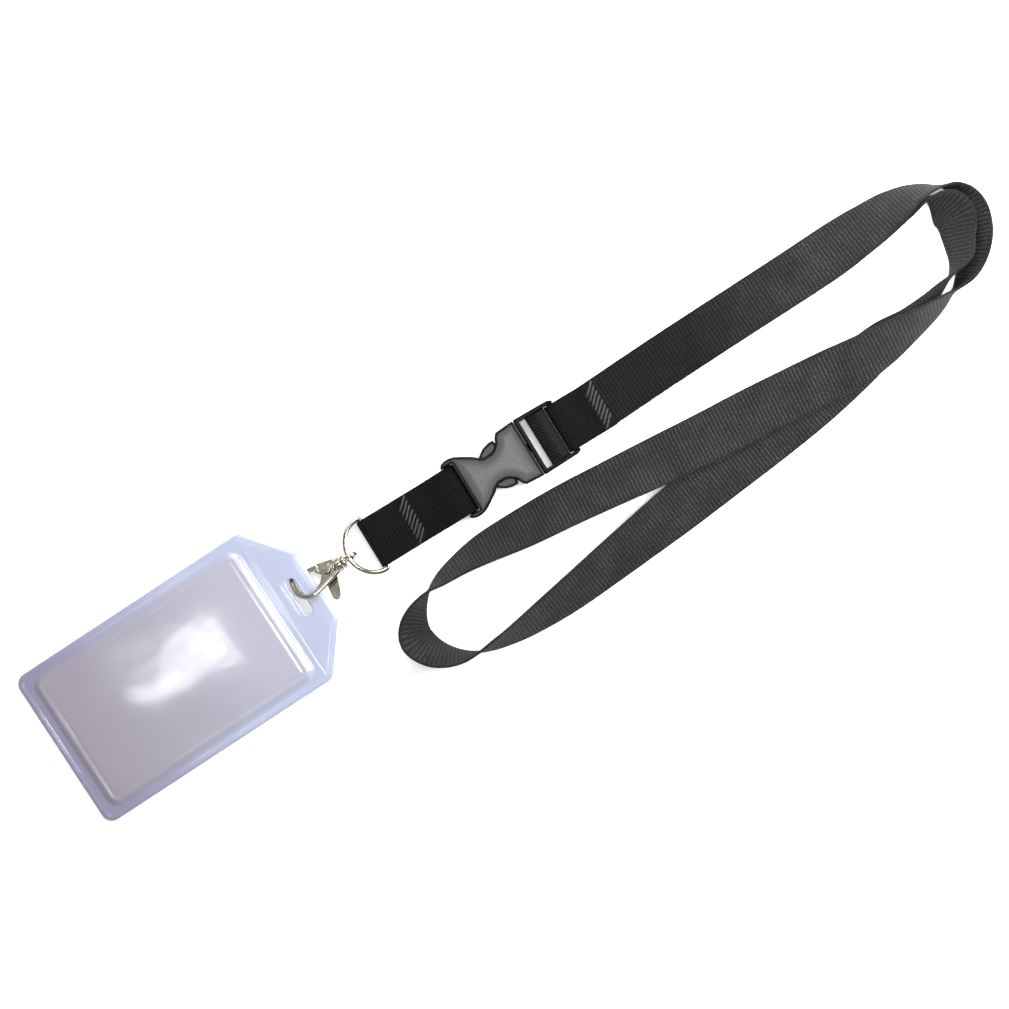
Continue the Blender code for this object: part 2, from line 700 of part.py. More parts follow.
def make_eye(parent, eye_x):
    """Swivel eye: a ring round the D-ring's wire, a drum and a headed stem in the hook's collar."""
    circle = []
    for i in range(28):
        angle = 2 * math.pi * i / 28
        off = EYE_RADIUS * math.sin(angle)
        circle.append(
            (
                eye_x + EYE_RADIUS * math.cos(angle),
                off * math.sin(EYE_LEAN),
                HOOK_HEIGHT + off * math.cos(EYE_LEAN),
            )
        )
    eye = tube(circle, EYE_WIRE_RADIUS, 2, cyclic=True)
    drum_end = HOOK_COLLAR_X + GAP
    drum_start = eye_x - EYE_RADIUS + 0.1
    head_end = HOOK_COLLAR_X - COLLAR_LENGTH - GAP
    middle = (0, HOOK_HEIGHT)
    drum = rounded(cylinder((drum_end, *middle), (drum_start, *middle), DRUM_RADIUS), 0.4, 2)
    stem = cylinder((drum_start - 0.2, *middle), (head_end - 0.2, *middle), STEM_RADIUS, 16)
    head = cylinder((head_end, *middle), (head_end - STEM_HEAD, *middle), STEM_HEAD_RADIUS, 20)
    finish(join(eye, drum, stem, head), "swivel_eye", NICKEL, parent)


def in_hook(place):
    """The hook's local place in the world."""
    turn = Matrix.Rotation(math.pi, 4, "Z") @ Matrix.Rotation(HOOK_TILT, 4, "X")
    return Vector((HOOK_COLLAR_X, 0, HOOK_HEIGHT)) + turn.to_3x3() @ Vector(place)


def make_hook(parent):
    """Hook body: collar, plate and the bent hook, all in the hook's own frame."""
    back = [(1.2, 1.7), (5.8, 3.3), (9.6, 4.4), (13.4, 5.4), (16.2, 5.5), (18.4, 4.3)]
    bowl = [(BOWL_X - 0.4, 2.2), (BOWL_X, 0.0), (BOWL_X, -2.0), (20.0, -3.9), (19.4, -5.5), (18.4, -6.7)]
    line = smooth([(x, y, 0) for x, y in back + bowl], 1.2)
    hook = tube(line, HOOK_WIRE_RADIUS, 2)
    plate = flat_outline(
        [
            (0.6, -2.7),
            (5.0, -3.9),
            (8.7, -4.9),
            (8.2, -2.6),
            (8.6, 0.4),
            (10.2, 2.6),
            (13.0, 4.6),
            (9.6, 4.4),
            (5.8, 3.3),
            (0.6, 1.8),
        ],
        -HOOK_PLATE / 2,
        HOOK_PLATE / 2,
    )
    collar = rounded(cylinder((0, 0, 0), (COLLAR_LENGTH, 0, 0), COLLAR_RADIUS), 0.35, 1)
    body = join(collar, plate, hook)
    bore = cylinder((-1, 0, 0), (COLLAR_LENGTH + 1, 0, 0), STEM_RADIUS + GAP, 20)
    room = STEM_HEAD_RADIUS + GAP
    window = box((COLLAR_LENGTH - 0.1, -room, -5), (COLLAR_LENGTH + STEM_HEAD + 3 * GAP, room, 5))
    rivet_hole = cylinder((RIVET_X, 0, -5), (RIVET_X, 0, 5), RIVET_RADIUS + GAP, 20)
    finish(cut(body, bore, window, rivet_hole), "hook_body", NICKEL, parent, local=True)


def make_rivet(parent):
    top = HOOK_PLATE / 2 + GAP
    bottom = LEVER_BOTTOM - GAP
    shaft = cylinder((RIVET_X, 0, bottom - RIVET_HEAD / 2), (RIVET_X, 0, top + RIVET_HEAD / 2), RIVET_RADIUS, 20)
    head = cylinder((RIVET_X, 0, top), (RIVET_X, 0, top + RIVET_HEAD), RIVET_HEAD_RADIUS, 24, RIVET_HEAD_RADIUS - 0.3)
    tail = cylinder((RIVET_X, 0, bottom), (RIVET_X, 0, bottom - RIVET_HEAD / 2), RIVET_HEAD_RADIUS - 0.3, 20)
    finish(join(shaft, head, tail), "hook_rivet", NICKEL, parent, local=True)


def make_lever(parent):
    """Gate lever: a plate under the hook's plate with the thumb tab, and the gate arm at its other end."""
    around = arc((0, 0), 2.3, 200, 250, 3)
    outline = [(x, y) for x, y in around]
    outline += [(1.6, -4.0), (3.2, -5.0), (4.4, -5.0), (4.6, -3.6), (2.4, -0.4), (2.9, 4.6), (3.4, 9.0)]
    outline += arc((1.5, 9.6), 1.9, 20, 160, 6)
    outline += [(-1.0, 8.0), (-1.8, 4.4), (-2.4, 1.4)]
    plate = flat_outline(outline, LEVER_BOTTOM, LEVER_TOP)
    riser = box((3.1, -5.3, LEVER_BOTTOM + 0.2), (4.4, -3.7, -0.5))
    arm = flat_outline(
        [(3.1, -5.3), (10.0, -6.4), (10.9, -6.1), (10.9, -5.3), (10.2, -4.7), (4.4, -3.7), (3.1, -3.7)], -1.5, -0.5
    )
    lever = join(plate, riser, arm)
    hole = cylinder((0, 0, LEVER_BOTTOM - 1), (0, 0, LEVER_TOP + 1), RIVET_RADIUS + GAP, 20)
    finish(cut(lever, hole), "gate_lever", NICKEL, parent, local=True)


def make_spring(parent):
    """Torsion spring on the rivet, between the plate and the lever."""
    radius = RIVET_RADIUS + GAP + SPRING_WIRE_RADIUS
    low = LEVER_TOP + 0.25
    high = -HOOK_PLATE / 2 - 0.25
    count = round(SPRING_TURNS * 14)
    points = [(RIVET_X + radius, -2.2, low)]
    for i in range(count + 1):
        angle = 2 * math.pi * SPRING_TURNS * i / count
        height = low + (high - low) * i / count
        points.append((RIVET_X + radius * math.cos(angle), radius * math.sin(angle), height))
    points.append((RIVET_X - radius, -2.2, high))
    finish(tube(points, SPRING_WIRE_RADIUS, 0), "gate_spring", SPRING_STEEL, parent, local=True)


def holder_outline():
    half = HOLDER_WIDTH / 2
    tail = HOLDER_TAIL + HOLDER_CORNER
    chamfer_x = SLOT_TO_TOP - TAB_CHAMFER
    upper = arc((tail, half - HOLDER_CORNER), HOLDER_CORNER, 180, 90, 5)
    upper += arc((chamfer_x - 1.6, half - 4.0), 4.0, 90, 50, 4)
    upper += arc((SLOT_TO_TOP - 4.0, TAB_HALF - 1.9), 4.0, 50, 0, 5)
    return mirrored(upper)


def slot_cutter():
    outline = rounded_rectangle((0, 0), SLOT_WIDTH, SLOT_LENGTH, SLOT_WIDTH / 2 - 0.01, 6)
    return flat_outline(outline, -3, 6)


def make_holder(parent):
    """Front and back sheets of clear vinyl, with the raised window and the card mouth at its tab end."""
    middle = (WINDOW_MIDDLE, 0)
    back = flat_outline(holder_outline(), 0, SHEET)
    mouth_end = -WINDOW_TO_SLOT - SHEET
    mouth = box(
        (mouth_end - CARD_MOUTH_WIDTH, SHEET - WINDOW_WIDTH / 2, -1),
        (mouth_end, WINDOW_WIDTH / 2 - SHEET, 2),
    )
    finish(cut(back, slot_cutter(), mouth), "badge_back_sheet", CLEAR_VINYL, parent, local=True)
    front = flat_outline(holder_outline(), SHEET + GAP, RIM_TOP)
    outline = rounded_rectangle(middle, WINDOW_LENGTH, WINDOW_WIDTH, WINDOW_CORNER)
    window = rounded(flat_outline(outline, SHEET + GAP + 0.1, WINDOW_TOP), 0.3, 1, 60)
    inside = WINDOW_LENGTH - 2 * SHEET, WINDOW_WIDTH - 2 * SHEET, WINDOW_CORNER - SHEET
    pocket = flat_outline(rounded_rectangle(middle, *inside), 0, SHEET + POCKET_DEPTH)
    front = cut(join(front, window), pocket, slot_cutter())
    finish(front, "badge_front_sheet", CLEAR_VINYL, parent, local=True)


def build():
    release = pivot("buckle_release_slide", (0, 0, BAR_HEIGHT))
    ring_hinge = pivot("d_ring_hinge", (RING_BAR_X, 0, RING_BAR_HEIGHT), parent=release)
    rise = HOOK_HEIGHT - 0.1 - RING_BAR_HEIGHT
    wire_x = RING_BAR_X - RING_DEPTH * math.cos(math.asin(rise / RING_DEPTH))
    eye_hinge = pivot("hook_tilt_hinge", (wire_x, 0, RING_BAR_HEIGHT + rise), parent=ring_hinge)
    turn = (HOOK_TILT, 0, math.pi)
    swivel = pivot("hook_swivel_axis", (HOOK_COLLAR_X, 0, HOOK_HEIGHT), turn, eye_hinge)
    gate = pivot("gate_hinge", in_hook((RIVET_X, 0, 0)), turn, swivel)
    lie = (0, -HOLDER_PITCH, HOLDER_YAW)
    swing = pivot("badge_swing_axis", in_hook((BOWL_X, 0, 0)), lie, swivel)
    slot_x = HOOK_COLLAR_X - BOWL_X - SLOT_BEHIND_HOOK
    holder = pivot("badge_slot_middle", (slot_x, HOLDER_AT_Y, HOLDER_RISE), lie, swing)

    make_neck_strap()
    make_plug()
    make_arm("plug_arm_left", 1)
    make_arm("plug_arm_right", -1)
    make_socket(release)
    make_end_strap(release)
    make_ring(ring_hinge, rise)
    make_eye(eye_hinge, wire_x + EYE_PLAY)
    make_hook(swivel)
    make_rivet(swivel)
    make_spring(swivel)
    make_lever(gate)
    make_holder(holder)


build()
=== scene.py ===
import math

import bmesh
import bpy
import numpy as np
from mathutils import Matrix, Vector
from mathutils.kdtree import KDTree


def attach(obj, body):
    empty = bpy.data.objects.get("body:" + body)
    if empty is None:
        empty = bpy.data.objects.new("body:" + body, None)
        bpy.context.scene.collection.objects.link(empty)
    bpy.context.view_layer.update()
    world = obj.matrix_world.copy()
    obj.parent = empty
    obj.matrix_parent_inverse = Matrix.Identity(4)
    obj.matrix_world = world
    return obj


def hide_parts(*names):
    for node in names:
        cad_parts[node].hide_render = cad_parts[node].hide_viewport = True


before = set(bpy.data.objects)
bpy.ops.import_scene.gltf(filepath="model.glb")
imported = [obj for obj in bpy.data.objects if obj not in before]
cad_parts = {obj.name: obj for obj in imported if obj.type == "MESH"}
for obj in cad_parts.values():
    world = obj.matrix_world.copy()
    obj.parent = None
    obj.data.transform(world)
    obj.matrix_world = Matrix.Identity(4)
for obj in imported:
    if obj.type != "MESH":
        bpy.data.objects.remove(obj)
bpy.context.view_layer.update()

mm = 0.001

studio = {
    "lookAt": (-0.0023, -0.01365),  # the camera stands over this place, looking straight down
    "cameraHeight": 1.0,
    "sensor": 36,
    "seenWidth": 0.388,
    "turn": math.radians(-31.5),
    "floorSize": 6,
    "floorColour": "f6f6f6",
    "floorRoughness": 0.9,
    "floorGlow": 0.2,  # as a lit table, which lifts the soft shadows
    "skyColour": "ffffff",
    "horizonStrength": 0.95,
    "zenithStrength": 0.22,  # dim overhead, where flat glossy faces look
    # name, place, aimed at, width, depth, watts
    "softboxes": (
        ("badgeSoftbox", (-0.355, 0.015, 1.0), (-0.10, 0.0, 0.0), 0.035, 0.1, 0.17),
        ("overheadSoftbox", (0.03, -0.02, 1.25), (0.0, 0.0, 0.0), 0.34, 0.30, 5.4),
        ("upperSoftbox", (0.15, 0.75, 0.85), (0.0, 0.0, 0.0), 0.6, 0.5, 3.0),
        ("farSoftbox", (0.31, -0.06, 0.3), (0.19, -0.02, 0.0), 0.2, 0.2, 3.4),
        ("innerSoftbox", (0.16, 0.22, 0.3), (0.2, -0.02, 0.0), 0.2, 0.2, 1.5),
    ),
}


def makeCamera():
    bpy.ops.object.camera_add(
        location=(*studio["lookAt"], studio["cameraHeight"]), rotation=(0, 0, studio["turn"])
    )
    camera = bpy.context.object
    camera.data.sensor_width = studio["sensor"]
    camera.data.lens = studio["sensor"] * studio["cameraHeight"] / studio["seenWidth"]
    bpy.context.scene.camera = camera


def deselectAll():
    if bpy.context.object and bpy.context.object.mode != "OBJECT":
        bpy.ops.object.mode_set(mode="OBJECT")
    bpy.ops.object.select_all(action="DESELECT")


def toLinear(hexColour):
    channels = [int(hexColour[i : i + 2], 16) / 255 for i in (0, 2, 4)]
    linear = [c / 12.92 if c <= 0.04045 else ((c + 0.055) / 1.055) ** 2.4 for c in channels]
    return (*linear, 1.0)


def newMaterial(name, colour, roughness, metallic=0.0, **sockets):
    material = bpy.data.materials.new(name)
    material.use_nodes = True
    shader = material.node_tree.nodes["Principled BSDF"]
    shader.inputs["Base Color"].default_value = toLinear(colour)
    shader.inputs["Roughness"].default_value = roughness
    shader.inputs["Metallic"].default_value = metallic
    for socket, value in sockets.items():
        shader.inputs[socket.replace("_", " ")].default_value = value
    return material, shader


def addNode(material, kind, inputs=None, links=None, **settings):
    node = material.node_tree.nodes.new(kind)
    for name, value in settings.items():
        setattr(node, name, value)
    for socket, value in (inputs or {}).items():
        node.inputs[socket].default_value = value
    for socket, (source, output) in (links or {}).items():
        material.node_tree.links.new(source.outputs[output], node.inputs[socket])
    return node


def linkTo(material, source, output, target, socket):
    material.node_tree.links.new(source.outputs[output], target.inputs[socket])


def finishedPiece(name, bm, material):
    mesh = bpy.data.meshes.new(name)
    bm.to_mesh(mesh)
    bm.free()
    mesh.materials.append(material)
    piece = bpy.data.objects.new(name, mesh)
    bpy.context.scene.collection.objects.link(piece)
    return piece


def declare(piece, node, body):
    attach(piece, body)
    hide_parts(node)


def makeStudio():
    makeCamera()
    bpy.ops.mesh.primitive_plane_add(size=studio["floorSize"])
    floor = bpy.context.object
    floor.name = "studioFloor"
    material, _ = newMaterial(
        "matt white paper sweep",
        studio["floorColour"],
        studio["floorRoughness"],
        Emission_Strength=studio["floorGlow"],
    )
    floor.data.materials.append(material)
    world = bpy.data.worlds.new("studioSky")
    world.use_nodes = True
    sky = world.node_tree.nodes["Background"]
    sky.inputs["Color"].default_value = toLinear(studio["skyColour"])
    links = world.node_tree.links
    direction = world.node_tree.nodes.new("ShaderNodeTexCoord")
    split = world.node_tree.nodes.new("ShaderNodeSeparateXYZ")
    fall = world.node_tree.nodes.new("ShaderNodeMapRange")
    fall.inputs["To Min"].default_value = studio["horizonStrength"]
    fall.inputs["To Max"].default_value = studio["zenithStrength"]
    links.new(direction.outputs["Generated"], split.inputs[0])
    links.new(split.outputs["Z"], fall.inputs["Value"])
    links.new(fall.outputs["Result"], sky.inputs["Strength"])
    bpy.context.scene.world = world
    bpy.context.scene.view_settings.view_transform = "Standard"
    for name, place, aim, width, depth, watts in studio["softboxes"]:
        bpy.ops.object.light_add(type="AREA", location=place)
        softbox = bpy.context.object
        softbox.name = name
        softbox.data.shape = "RECTANGLE"
        softbox.data.size = width
        softbox.data.size_y = depth
        softbox.data.energy = watts
        away = Vector(place) - Vector(aim)
        softbox.rotation_euler = away.to_track_quat("Z", "Y").to_euler()


makeStudio()
print("studio made")

webbingLook = {
    "ribPitch": 1.5 * mm,  # raised ribs across the strap
    "yarnPitch": 0.8 * mm,  # real yarns are 0.4 mm; drawn at twice that so that they show
    "ribWander": 0.5 * mm,  # how far a rib strays from its even place
    "selvedge": 0.9 * mm,  # the plain band along each edge
    "halfWidth": 10.0 * mm,
    "strayLength": 5 * mm,
    "fuzzSize": 0.65 * mm,
    "fuzzGain": 7.0,
    "patchSize": 11 * mm,
    "patchTones": (0.78, 1.25),
    "darkEndTone": 0.12,  # of the doubled end
    "relief": 0.12 * mm,
    "sheenTint": "b9bbc0",
    "charcoal": ("080809", "1e1f1f", "494a4c"),  # between ribs with painted shade, on a rib, a rib top with painted sheen
    "black": ("030304", "08080a", "1d1d20"),
}


def makeWebbingMaterial(name, tones):
    # woven polyester webbing: matt filament yarn with a faint grey sheen, ribbed across its width
    # the gap tone is painted shade in the grooves, and the lightest tone is a painted sheen on the rib
    # tops
    gap, rib, ribTopSheen = tones
    material, shader = newMaterial(
        name, rib, 0.8, Sheen_Weight=0.05, Sheen_Roughness=0.5, Specular_IOR_Level=0.07
    )
    shader.inputs["Sheen Tint"].default_value = toLinear(webbingLook["sheenTint"])
    place = addNode(material, "ShaderNodeUVMap", uv_map="weave")
    split = addNode(material, "ShaderNodeSeparateXYZ", links={0: (place, 0)})
    # the ribs stray a little, so that no two gaps are alike
    stray = addNode(
        material,
        "ShaderNodeTexNoise",
        {"Scale": 1 / webbingLook["strayLength"], "Detail": 1.0},
        {"Vector": (place, 0)},
    )
    strayed = addNode(
        material,
        "ShaderNodeMath",
        {1: webbingLook["ribWander"]},
        {0: (stray, "Fac"), 2: (split, "Y")},
        operation="MULTIPLY_ADD",
    )
    alongAngle = addNode(
        material,
        "ShaderNodeMath",
        {1: 2 * math.pi / webbingLook["ribPitch"]},
        {0: (strayed, 0)},
        operation="MULTIPLY",
    )
    alongWave = addNode(material, "ShaderNodeMath", links={0: (alongAngle, 0)}, operation="COSINE")
    acrossAngle = addNode(
        material,
        "ShaderNodeMath",
        {1: 2 * math.pi / webbingLook["yarnPitch"]},
        {0: (split, "X")},
        operation="MULTIPLY",
    )
    # neighbouring ribs are half a yarn out of step, as in a plain weave
    halfAngle = addNode(material, "ShaderNodeMath", {1: 0.5}, {0: (alongAngle, 0)}, operation="MULTIPLY")
    weaveAngle = addNode(
        material, "ShaderNodeMath", links={0: (acrossAngle, 0), 1: (halfAngle, 0)}, operation="ADD"
    )
    acrossWave = addNode(material, "ShaderNodeMath", links={0: (weaveAngle, 0)}, operation="COSINE")
    yarnShare = addNode(material, "ShaderNodeMath", {1: 0.5}, {0: (acrossWave, 0)}, operation="MULTIPLY")
    weave = addNode(
        material,
        "ShaderNodeMath",
        {1: 0.75},
        {0: (alongWave, 0), 2: (yarnShare, 0)},
        operation="MULTIPLY_ADD",
    )
    # the selvedge is plain: its ribs fade out towards the strap's edge
    side = addNode(material, "ShaderNodeMath", links={0: (split, "X")}, operation="ABSOLUTE")
    inner = addNode(
        material,
        "ShaderNodeMapRange",
        {
            "From Min": webbingLook["halfWidth"] - webbingLook["selvedge"] * 0.5,
            "From Max": webbingLook["halfWidth"] - webbingLook["selvedge"] * 1.1,
        },
        {"Value": (side, 0)},
    )
    height = addNode(
        material, "ShaderNodeMath", links={0: (weave, 0), 1: (inner, "Result")}, operation="MULTIPLY"
    )
    fuzz = addNode(
        material,
        "ShaderNodeTexNoise",
        {"Scale": 1 / webbingLook["fuzzSize"], "Detail": 4.0, "Roughness": 0.75},
        {"Vector": (place, 0)},
    )
    patches = addNode(
        material,
        "ShaderNodeTexNoise",
        {"Scale": 1 / webbingLook["patchSize"], "Detail": 3.0},
        {"Vector": (place, 0)},
    )
    fuzzLift = addNode(
        material,
        "ShaderNodeMath",
        {1: webbingLook["fuzzGain"], 2: -webbingLook["fuzzGain"] / 2},
        {0: (fuzz, "Fac")},
        operation="MULTIPLY_ADD",
    )
    shade = addNode(
        material, "ShaderNodeMath", links={0: (height, 0), 1: (fuzzLift, 0)}, operation="ADD"
    )
    level = addNode(
        material, "ShaderNodeMapRange", {"From Min": -2.3, "From Max": 2.5}, {"Value": (shade, 0)}
    )
    # the ramp paints shade into the gaps between ribs and a sheen on the rib tops, over the fuzz's
    # random speck of real tone
    ramp = addNode(material, "ShaderNodeValToRGB", links={"Fac": (level, "Result")})
    ramp.color_ramp.elements[0].color = toLinear(gap)
    ramp.color_ramp.elements[1].color = toLinear(ribTopSheen)
    middle = ramp.color_ramp.elements.new(0.55)
    middle.color = toLinear(rib)
    darkPatch, lightPatch = webbingLook["patchTones"]
    wear = addNode(
        material,
        "ShaderNodeMapRange",
        {"From Min": 0.3, "From Max": 0.7, "To Min": darkPatch, "To Max": lightPatch},
        {"Value": (patches, "Fac")},
    )
    tone = addNode(
        material,
        "ShaderNodeHueSaturation",
        links={"Color": (ramp, "Color"), "Value": (wear, "Result")},
    )
    # the doubled end is drawn darker, and the strap just past it carries a painted shade that fades out
    # along the strand
    darkEndAndShade = addNode(material, "ShaderNodeAttribute", attribute_name="darkEndAndShade")
    darkening = addNode(
        material,
        "ShaderNodeMapRange",
        {"To Min": 1.0, "To Max": webbingLook["darkEndTone"]},
        {"Value": (darkEndAndShade, "Fac")},
    )
    dimmed = addNode(
        material,
        "ShaderNodeHueSaturation",
        links={"Color": (tone, "Color"), "Value": (darkening, "Result")},
    )
    linkTo(material, dimmed, "Color", shader, "Base Color")
    bump = addNode(
        material,
        "ShaderNodeBump",
        {"Strength": 0.6, "Distance": webbingLook["relief"]},
        {"Height": (shade, 0)},
    )
    linkTo(material, bump, "Normal", shader, "Normal")
    return material


threadLook = {
    "dark": "161618",
    "light": "3c3c3e",
    "twist": 0.35 * mm,
}


def makeThreadMaterial():
    # bonded sewing thread: twisted filament, a little glossier than the webbing
    material, shader = newMaterial(
        "bonded polyester thread", threadLook["light"], 0.6, Sheen_Weight=0.1, Specular_IOR_Level=0.25
    )
    place = addNode(material, "ShaderNodeTexCoord")
    grain = addNode(
        material, "ShaderNodeTexNoise", {"Scale": 1 / threadLook["twist"]}, {"Vector": (place, "Object")}
    )
    ramp = addNode(material, "ShaderNodeValToRGB", links={"Fac": (grain, "Fac")})
    ramp.color_ramp.elements[0].color = toLinear(threadLook["dark"])
    ramp.color_ramp.elements[1].color = toLinear(threadLook["light"])
    linkTo(material, ramp, "Color", shader, "Base Color")
    return material


acetalLook = {
    "gloss": "060606",
    "grained": "22241f",
    "pit": "131410",
    "grainSize": 0.5 * mm,
    "relief": 0.08 * mm,
    "roughness": (0.3, 0.46),  # on the gloss and on the grain
    "specular": (0.05, 1.0),
}


def makeAcetalMaterial():
    # injection-moulded acetal: its set-in panels carry a fine spark-eroded grain, and the rest is
    # glossy; the panels' colour grows lighter toward their middles, a painted highlight
    material, shader = newMaterial("spark-textured acetal", acetalLook["grained"], 0.35)
    place = addNode(material, "ShaderNodeTexCoord")
    grain = addNode(
        material,
        "ShaderNodeTexNoise",
        {"Scale": 1 / acetalLook["grainSize"], "Detail": 2.0, "Roughness": 0.6},
        {"Vector": (place, "Object")},
    )
    panelAndHighlight = addNode(material, "ShaderNodeAttribute", attribute_name="panelAndHighlight")
    speck = addNode(
        material, "ShaderNodeMapRange", {"From Min": 0.3, "From Max": 0.7}, {"Value": (grain, "Fac")}
    )
    pits = addNode(
        material,
        "ShaderNodeMix",
        {"A": toLinear(acetalLook["pit"]), "B": toLinear(acetalLook["grained"])},
        {"Factor": (speck, "Result")},
        data_type="RGBA",
    )
    # the panel share sets the colour from gloss to grain, and its crown part paints a highlight lighter
    # toward the panel's middle
    colour = addNode(
        material,
        "ShaderNodeMix",
        {"A": toLinear(acetalLook["gloss"])},
        {"Factor": (panelAndHighlight, "Fac"), "B": (pits, "Result")},
        data_type="RGBA",
    )
    linkTo(material, colour, "Result", shader, "Base Color")
    # roughness and specular level, from the gloss to the grain
    sparkle = addNode(
        material, "ShaderNodeMapRange", {"To Min": 0.7, "To Max": 1.05}, {"Value": (speck, "Result")}
    )
    sparkling = addNode(
        material,
        "ShaderNodeMath",
        links={0: (panelAndHighlight, "Fac"), 1: (sparkle, "Result")},
        operation="MULTIPLY",
    )
    for socket, share, (glossy, grained) in (
        ("Roughness", (panelAndHighlight, "Fac"), acetalLook["roughness"]),
        ("Specular IOR Level", (sparkling, 0), acetalLook["specular"]),
    ):
        level = addNode(
            material, "ShaderNodeMapRange", {"To Min": glossy, "To Max": grained}, {"Value": share}
        )
        linkTo(material, level, "Result", shader, socket)
    bump = addNode(
        material,
        "ShaderNodeBump",
        {"Distance": acetalLook["relief"]},
        {"Height": (grain, "Fac"), "Strength": (panelAndHighlight, "Fac")},
    )
    linkTo(material, bump, "Normal", shader, "Normal")
    return material


nickelLook = {
    "plate": ("a6a194", 0.11),  # colour and roughness
    "spring": ("9c9a94", 0.28),
    "peel": 1.2 * mm,
    "peelRelief": 0.05 * mm,
    "scuff": 4 * mm,
}


def makeNickelMaterial(name, colour, roughness):
    # nickel plate over a zinc casting: warm silver, bright, with a faint orange peel and small scuffs
    material, shader = newMaterial(name, colour, roughness, metallic=1.0)
    place = addNode(material, "ShaderNodeTexCoord")
    peel = addNode(
        material,
        "ShaderNodeTexNoise",
        {"Scale": 1 / nickelLook["peel"], "Detail": 2.0},
        {"Vector": (place, "Object")},
    )
    scuff = addNode(
        material,
        "ShaderNodeTexNoise",
        {"Scale": 1 / nickelLook["scuff"], "Detail": 5.0, "Roughness": 0.7},
        {"Vector": (place, "Object")},
    )
    rough = addNode(
        material,
        "ShaderNodeMapRange",
        {"From Min": 0.35, "From Max": 0.7, "To Min": roughness * 0.8, "To Max": roughness * 1.7},
        {"Value": (scuff, "Fac")},
    )
    linkTo(material, rough, "Result", shader, "Roughness")
    bump = addNode(
        material,
        "ShaderNodeBump",
        {"Strength": 0.12, "Distance": nickelLook["peelRelief"]},
        {"Height": (peel, "Fac")},
    )
    linkTo(material, bump, "Normal", shader, "Normal")
    return material


vinylLook = {
    "pocketTail": "b4adb8",  # the double layer over the card room, cloudier and pinker at its far end
    "pocketTab": "c4c4d2",
    "tailX": -195.0 * mm,
    "tabX": -110.0 * mm,
    "rim": "c3cae0",  # the welded rim, where the blue cast gathers, with a purple one at the far end
    "rimTail": "a9a5bf",
    "cloudSize": 26 * mm,
    "smearSize": 3 * mm,
    "smearRoughness": (0.06, 0.12),
    "rippleSize": 9 * mm,
    "rippleRelief": 0.25 * mm,
}


def makeVinylMaterial():
    # calendered clear vinyl: glossy, a little cloudy, lavender, and bluer at its welded rim
    material, shader = newMaterial(
        "clear calendered vinyl", vinylLook["pocketTab"], 0.16, IOR=1.5, Transmission_Weight=0.5
    )
    place = addNode(material, "ShaderNodeTexCoord")
    window = addNode(material, "ShaderNodeAttribute", attribute_name="windowShare")
    cloud = addNode(
        material,
        "ShaderNodeTexNoise",
        {"Scale": 1 / vinylLook["cloudSize"], "Detail": 3.0},
        {"Vector": (place, "Object")},
    )
    lying = addNode(material, "ShaderNodeSeparateXYZ", links={0: (place, "Object")})
    toTab = addNode(
        material,
        "ShaderNodeMapRange",
        {
            "From Min": vinylLook["tailX"],
            "From Max": vinylLook["tabX"],
            "To Min": -0.25,
            "To Max": 0.75,
        },
        {"Value": (lying, "X")},
    )
    clouded = addNode(
        material,
        "ShaderNodeMath",
        {1: 0.5},
        {0: (cloud, "Fac"), 2: (toTab, "Result")},
        operation="MULTIPLY_ADD",
    )
    pocket = addNode(material, "ShaderNodeValToRGB", links={"Fac": (clouded, 0)})
    pocket.color_ramp.elements[0].color = toLinear(vinylLook["pocketTail"])
    pocket.color_ramp.elements[1].color = toLinear(vinylLook["pocketTab"])
    rim = addNode(material, "ShaderNodeValToRGB", links={"Fac": (clouded, 0)})
    rim.color_ramp.elements[0].position = 0.1
    rim.color_ramp.elements[0].color = toLinear(vinylLook["rimTail"])
    rim.color_ramp.elements[1].position = 0.8
    rim.color_ramp.elements[1].color = toLinear(vinylLook["rim"])
    colour = addNode(
        material,
        "ShaderNodeMix",
        links={"Factor": (window, "Fac"), "A": (rim, "Color"), "B": (pocket, "Color")},
        data_type="RGBA",
    )
    linkTo(material, colour, "Result", shader, "Base Color")
    smear = addNode(
        material,
        "ShaderNodeTexNoise",
        {"Scale": 1 / vinylLook["smearSize"], "Detail": 5.0, "Roughness": 0.7},
        {"Vector": (place, "Object")},
    )
    clear, smeared = vinylLook["smearRoughness"]
    rough = addNode(
        material,
        "ShaderNodeMapRange",
        {"From Min": 0.35, "From Max": 0.7, "To Min": clear, "To Max": smeared},
        {"Value": (smear, "Fac")},
    )
    linkTo(material, rough, "Result", shader, "Roughness")
    ripple = addNode(
        material,
        "ShaderNodeTexNoise",
        {"Scale": 1 / vinylLook["rippleSize"], "Detail": 1.5},
        {"Vector": (place, "Object")},
    )
    bump = addNode(
        material,
        "ShaderNodeBump",
        {"Strength": 0.12, "Distance": vinylLook["rippleRelief"]},
        {"Height": (ripple, "Fac")},
    )
    linkTo(material, bump, "Normal", shader, "Normal")
    return material


webbing = makeWebbingMaterial("charcoal ribbed polyester webbing", webbingLook["charcoal"])
blackWebbing = makeWebbingMaterial("black ribbed polyester webbing", webbingLook["black"])
thread = makeThreadMaterial()
acetal = makeAcetalMaterial()
nickel = makeNickelMaterial("nickel-plated zinc", *nickelLook["plate"])
springWire = makeNickelMaterial("drawn spring wire", *nickelLook["spring"])
vinyl = makeVinylMaterial()
print("materials made")

strapCut = {
    "width": 20.0 * mm,
    "thickness": 1.0 * mm,
    "edgeRound": 0.32 * mm,
    "ribHeight": 0.05 * mm,
    "step": 0.4 * mm,
    "columns": 9,
    "doubledTo": 45.8 * mm,  # the neck strap's sewn end, drawn dark
    "paintedShadeShare": 0.75,  # how dark the painted shade on the strap just past it is
    "fadeStart": 90 * mm,  # from here that fades out
    "fadeEnd": 150 * mm,
    "besideBuckle": 14 * mm,
}

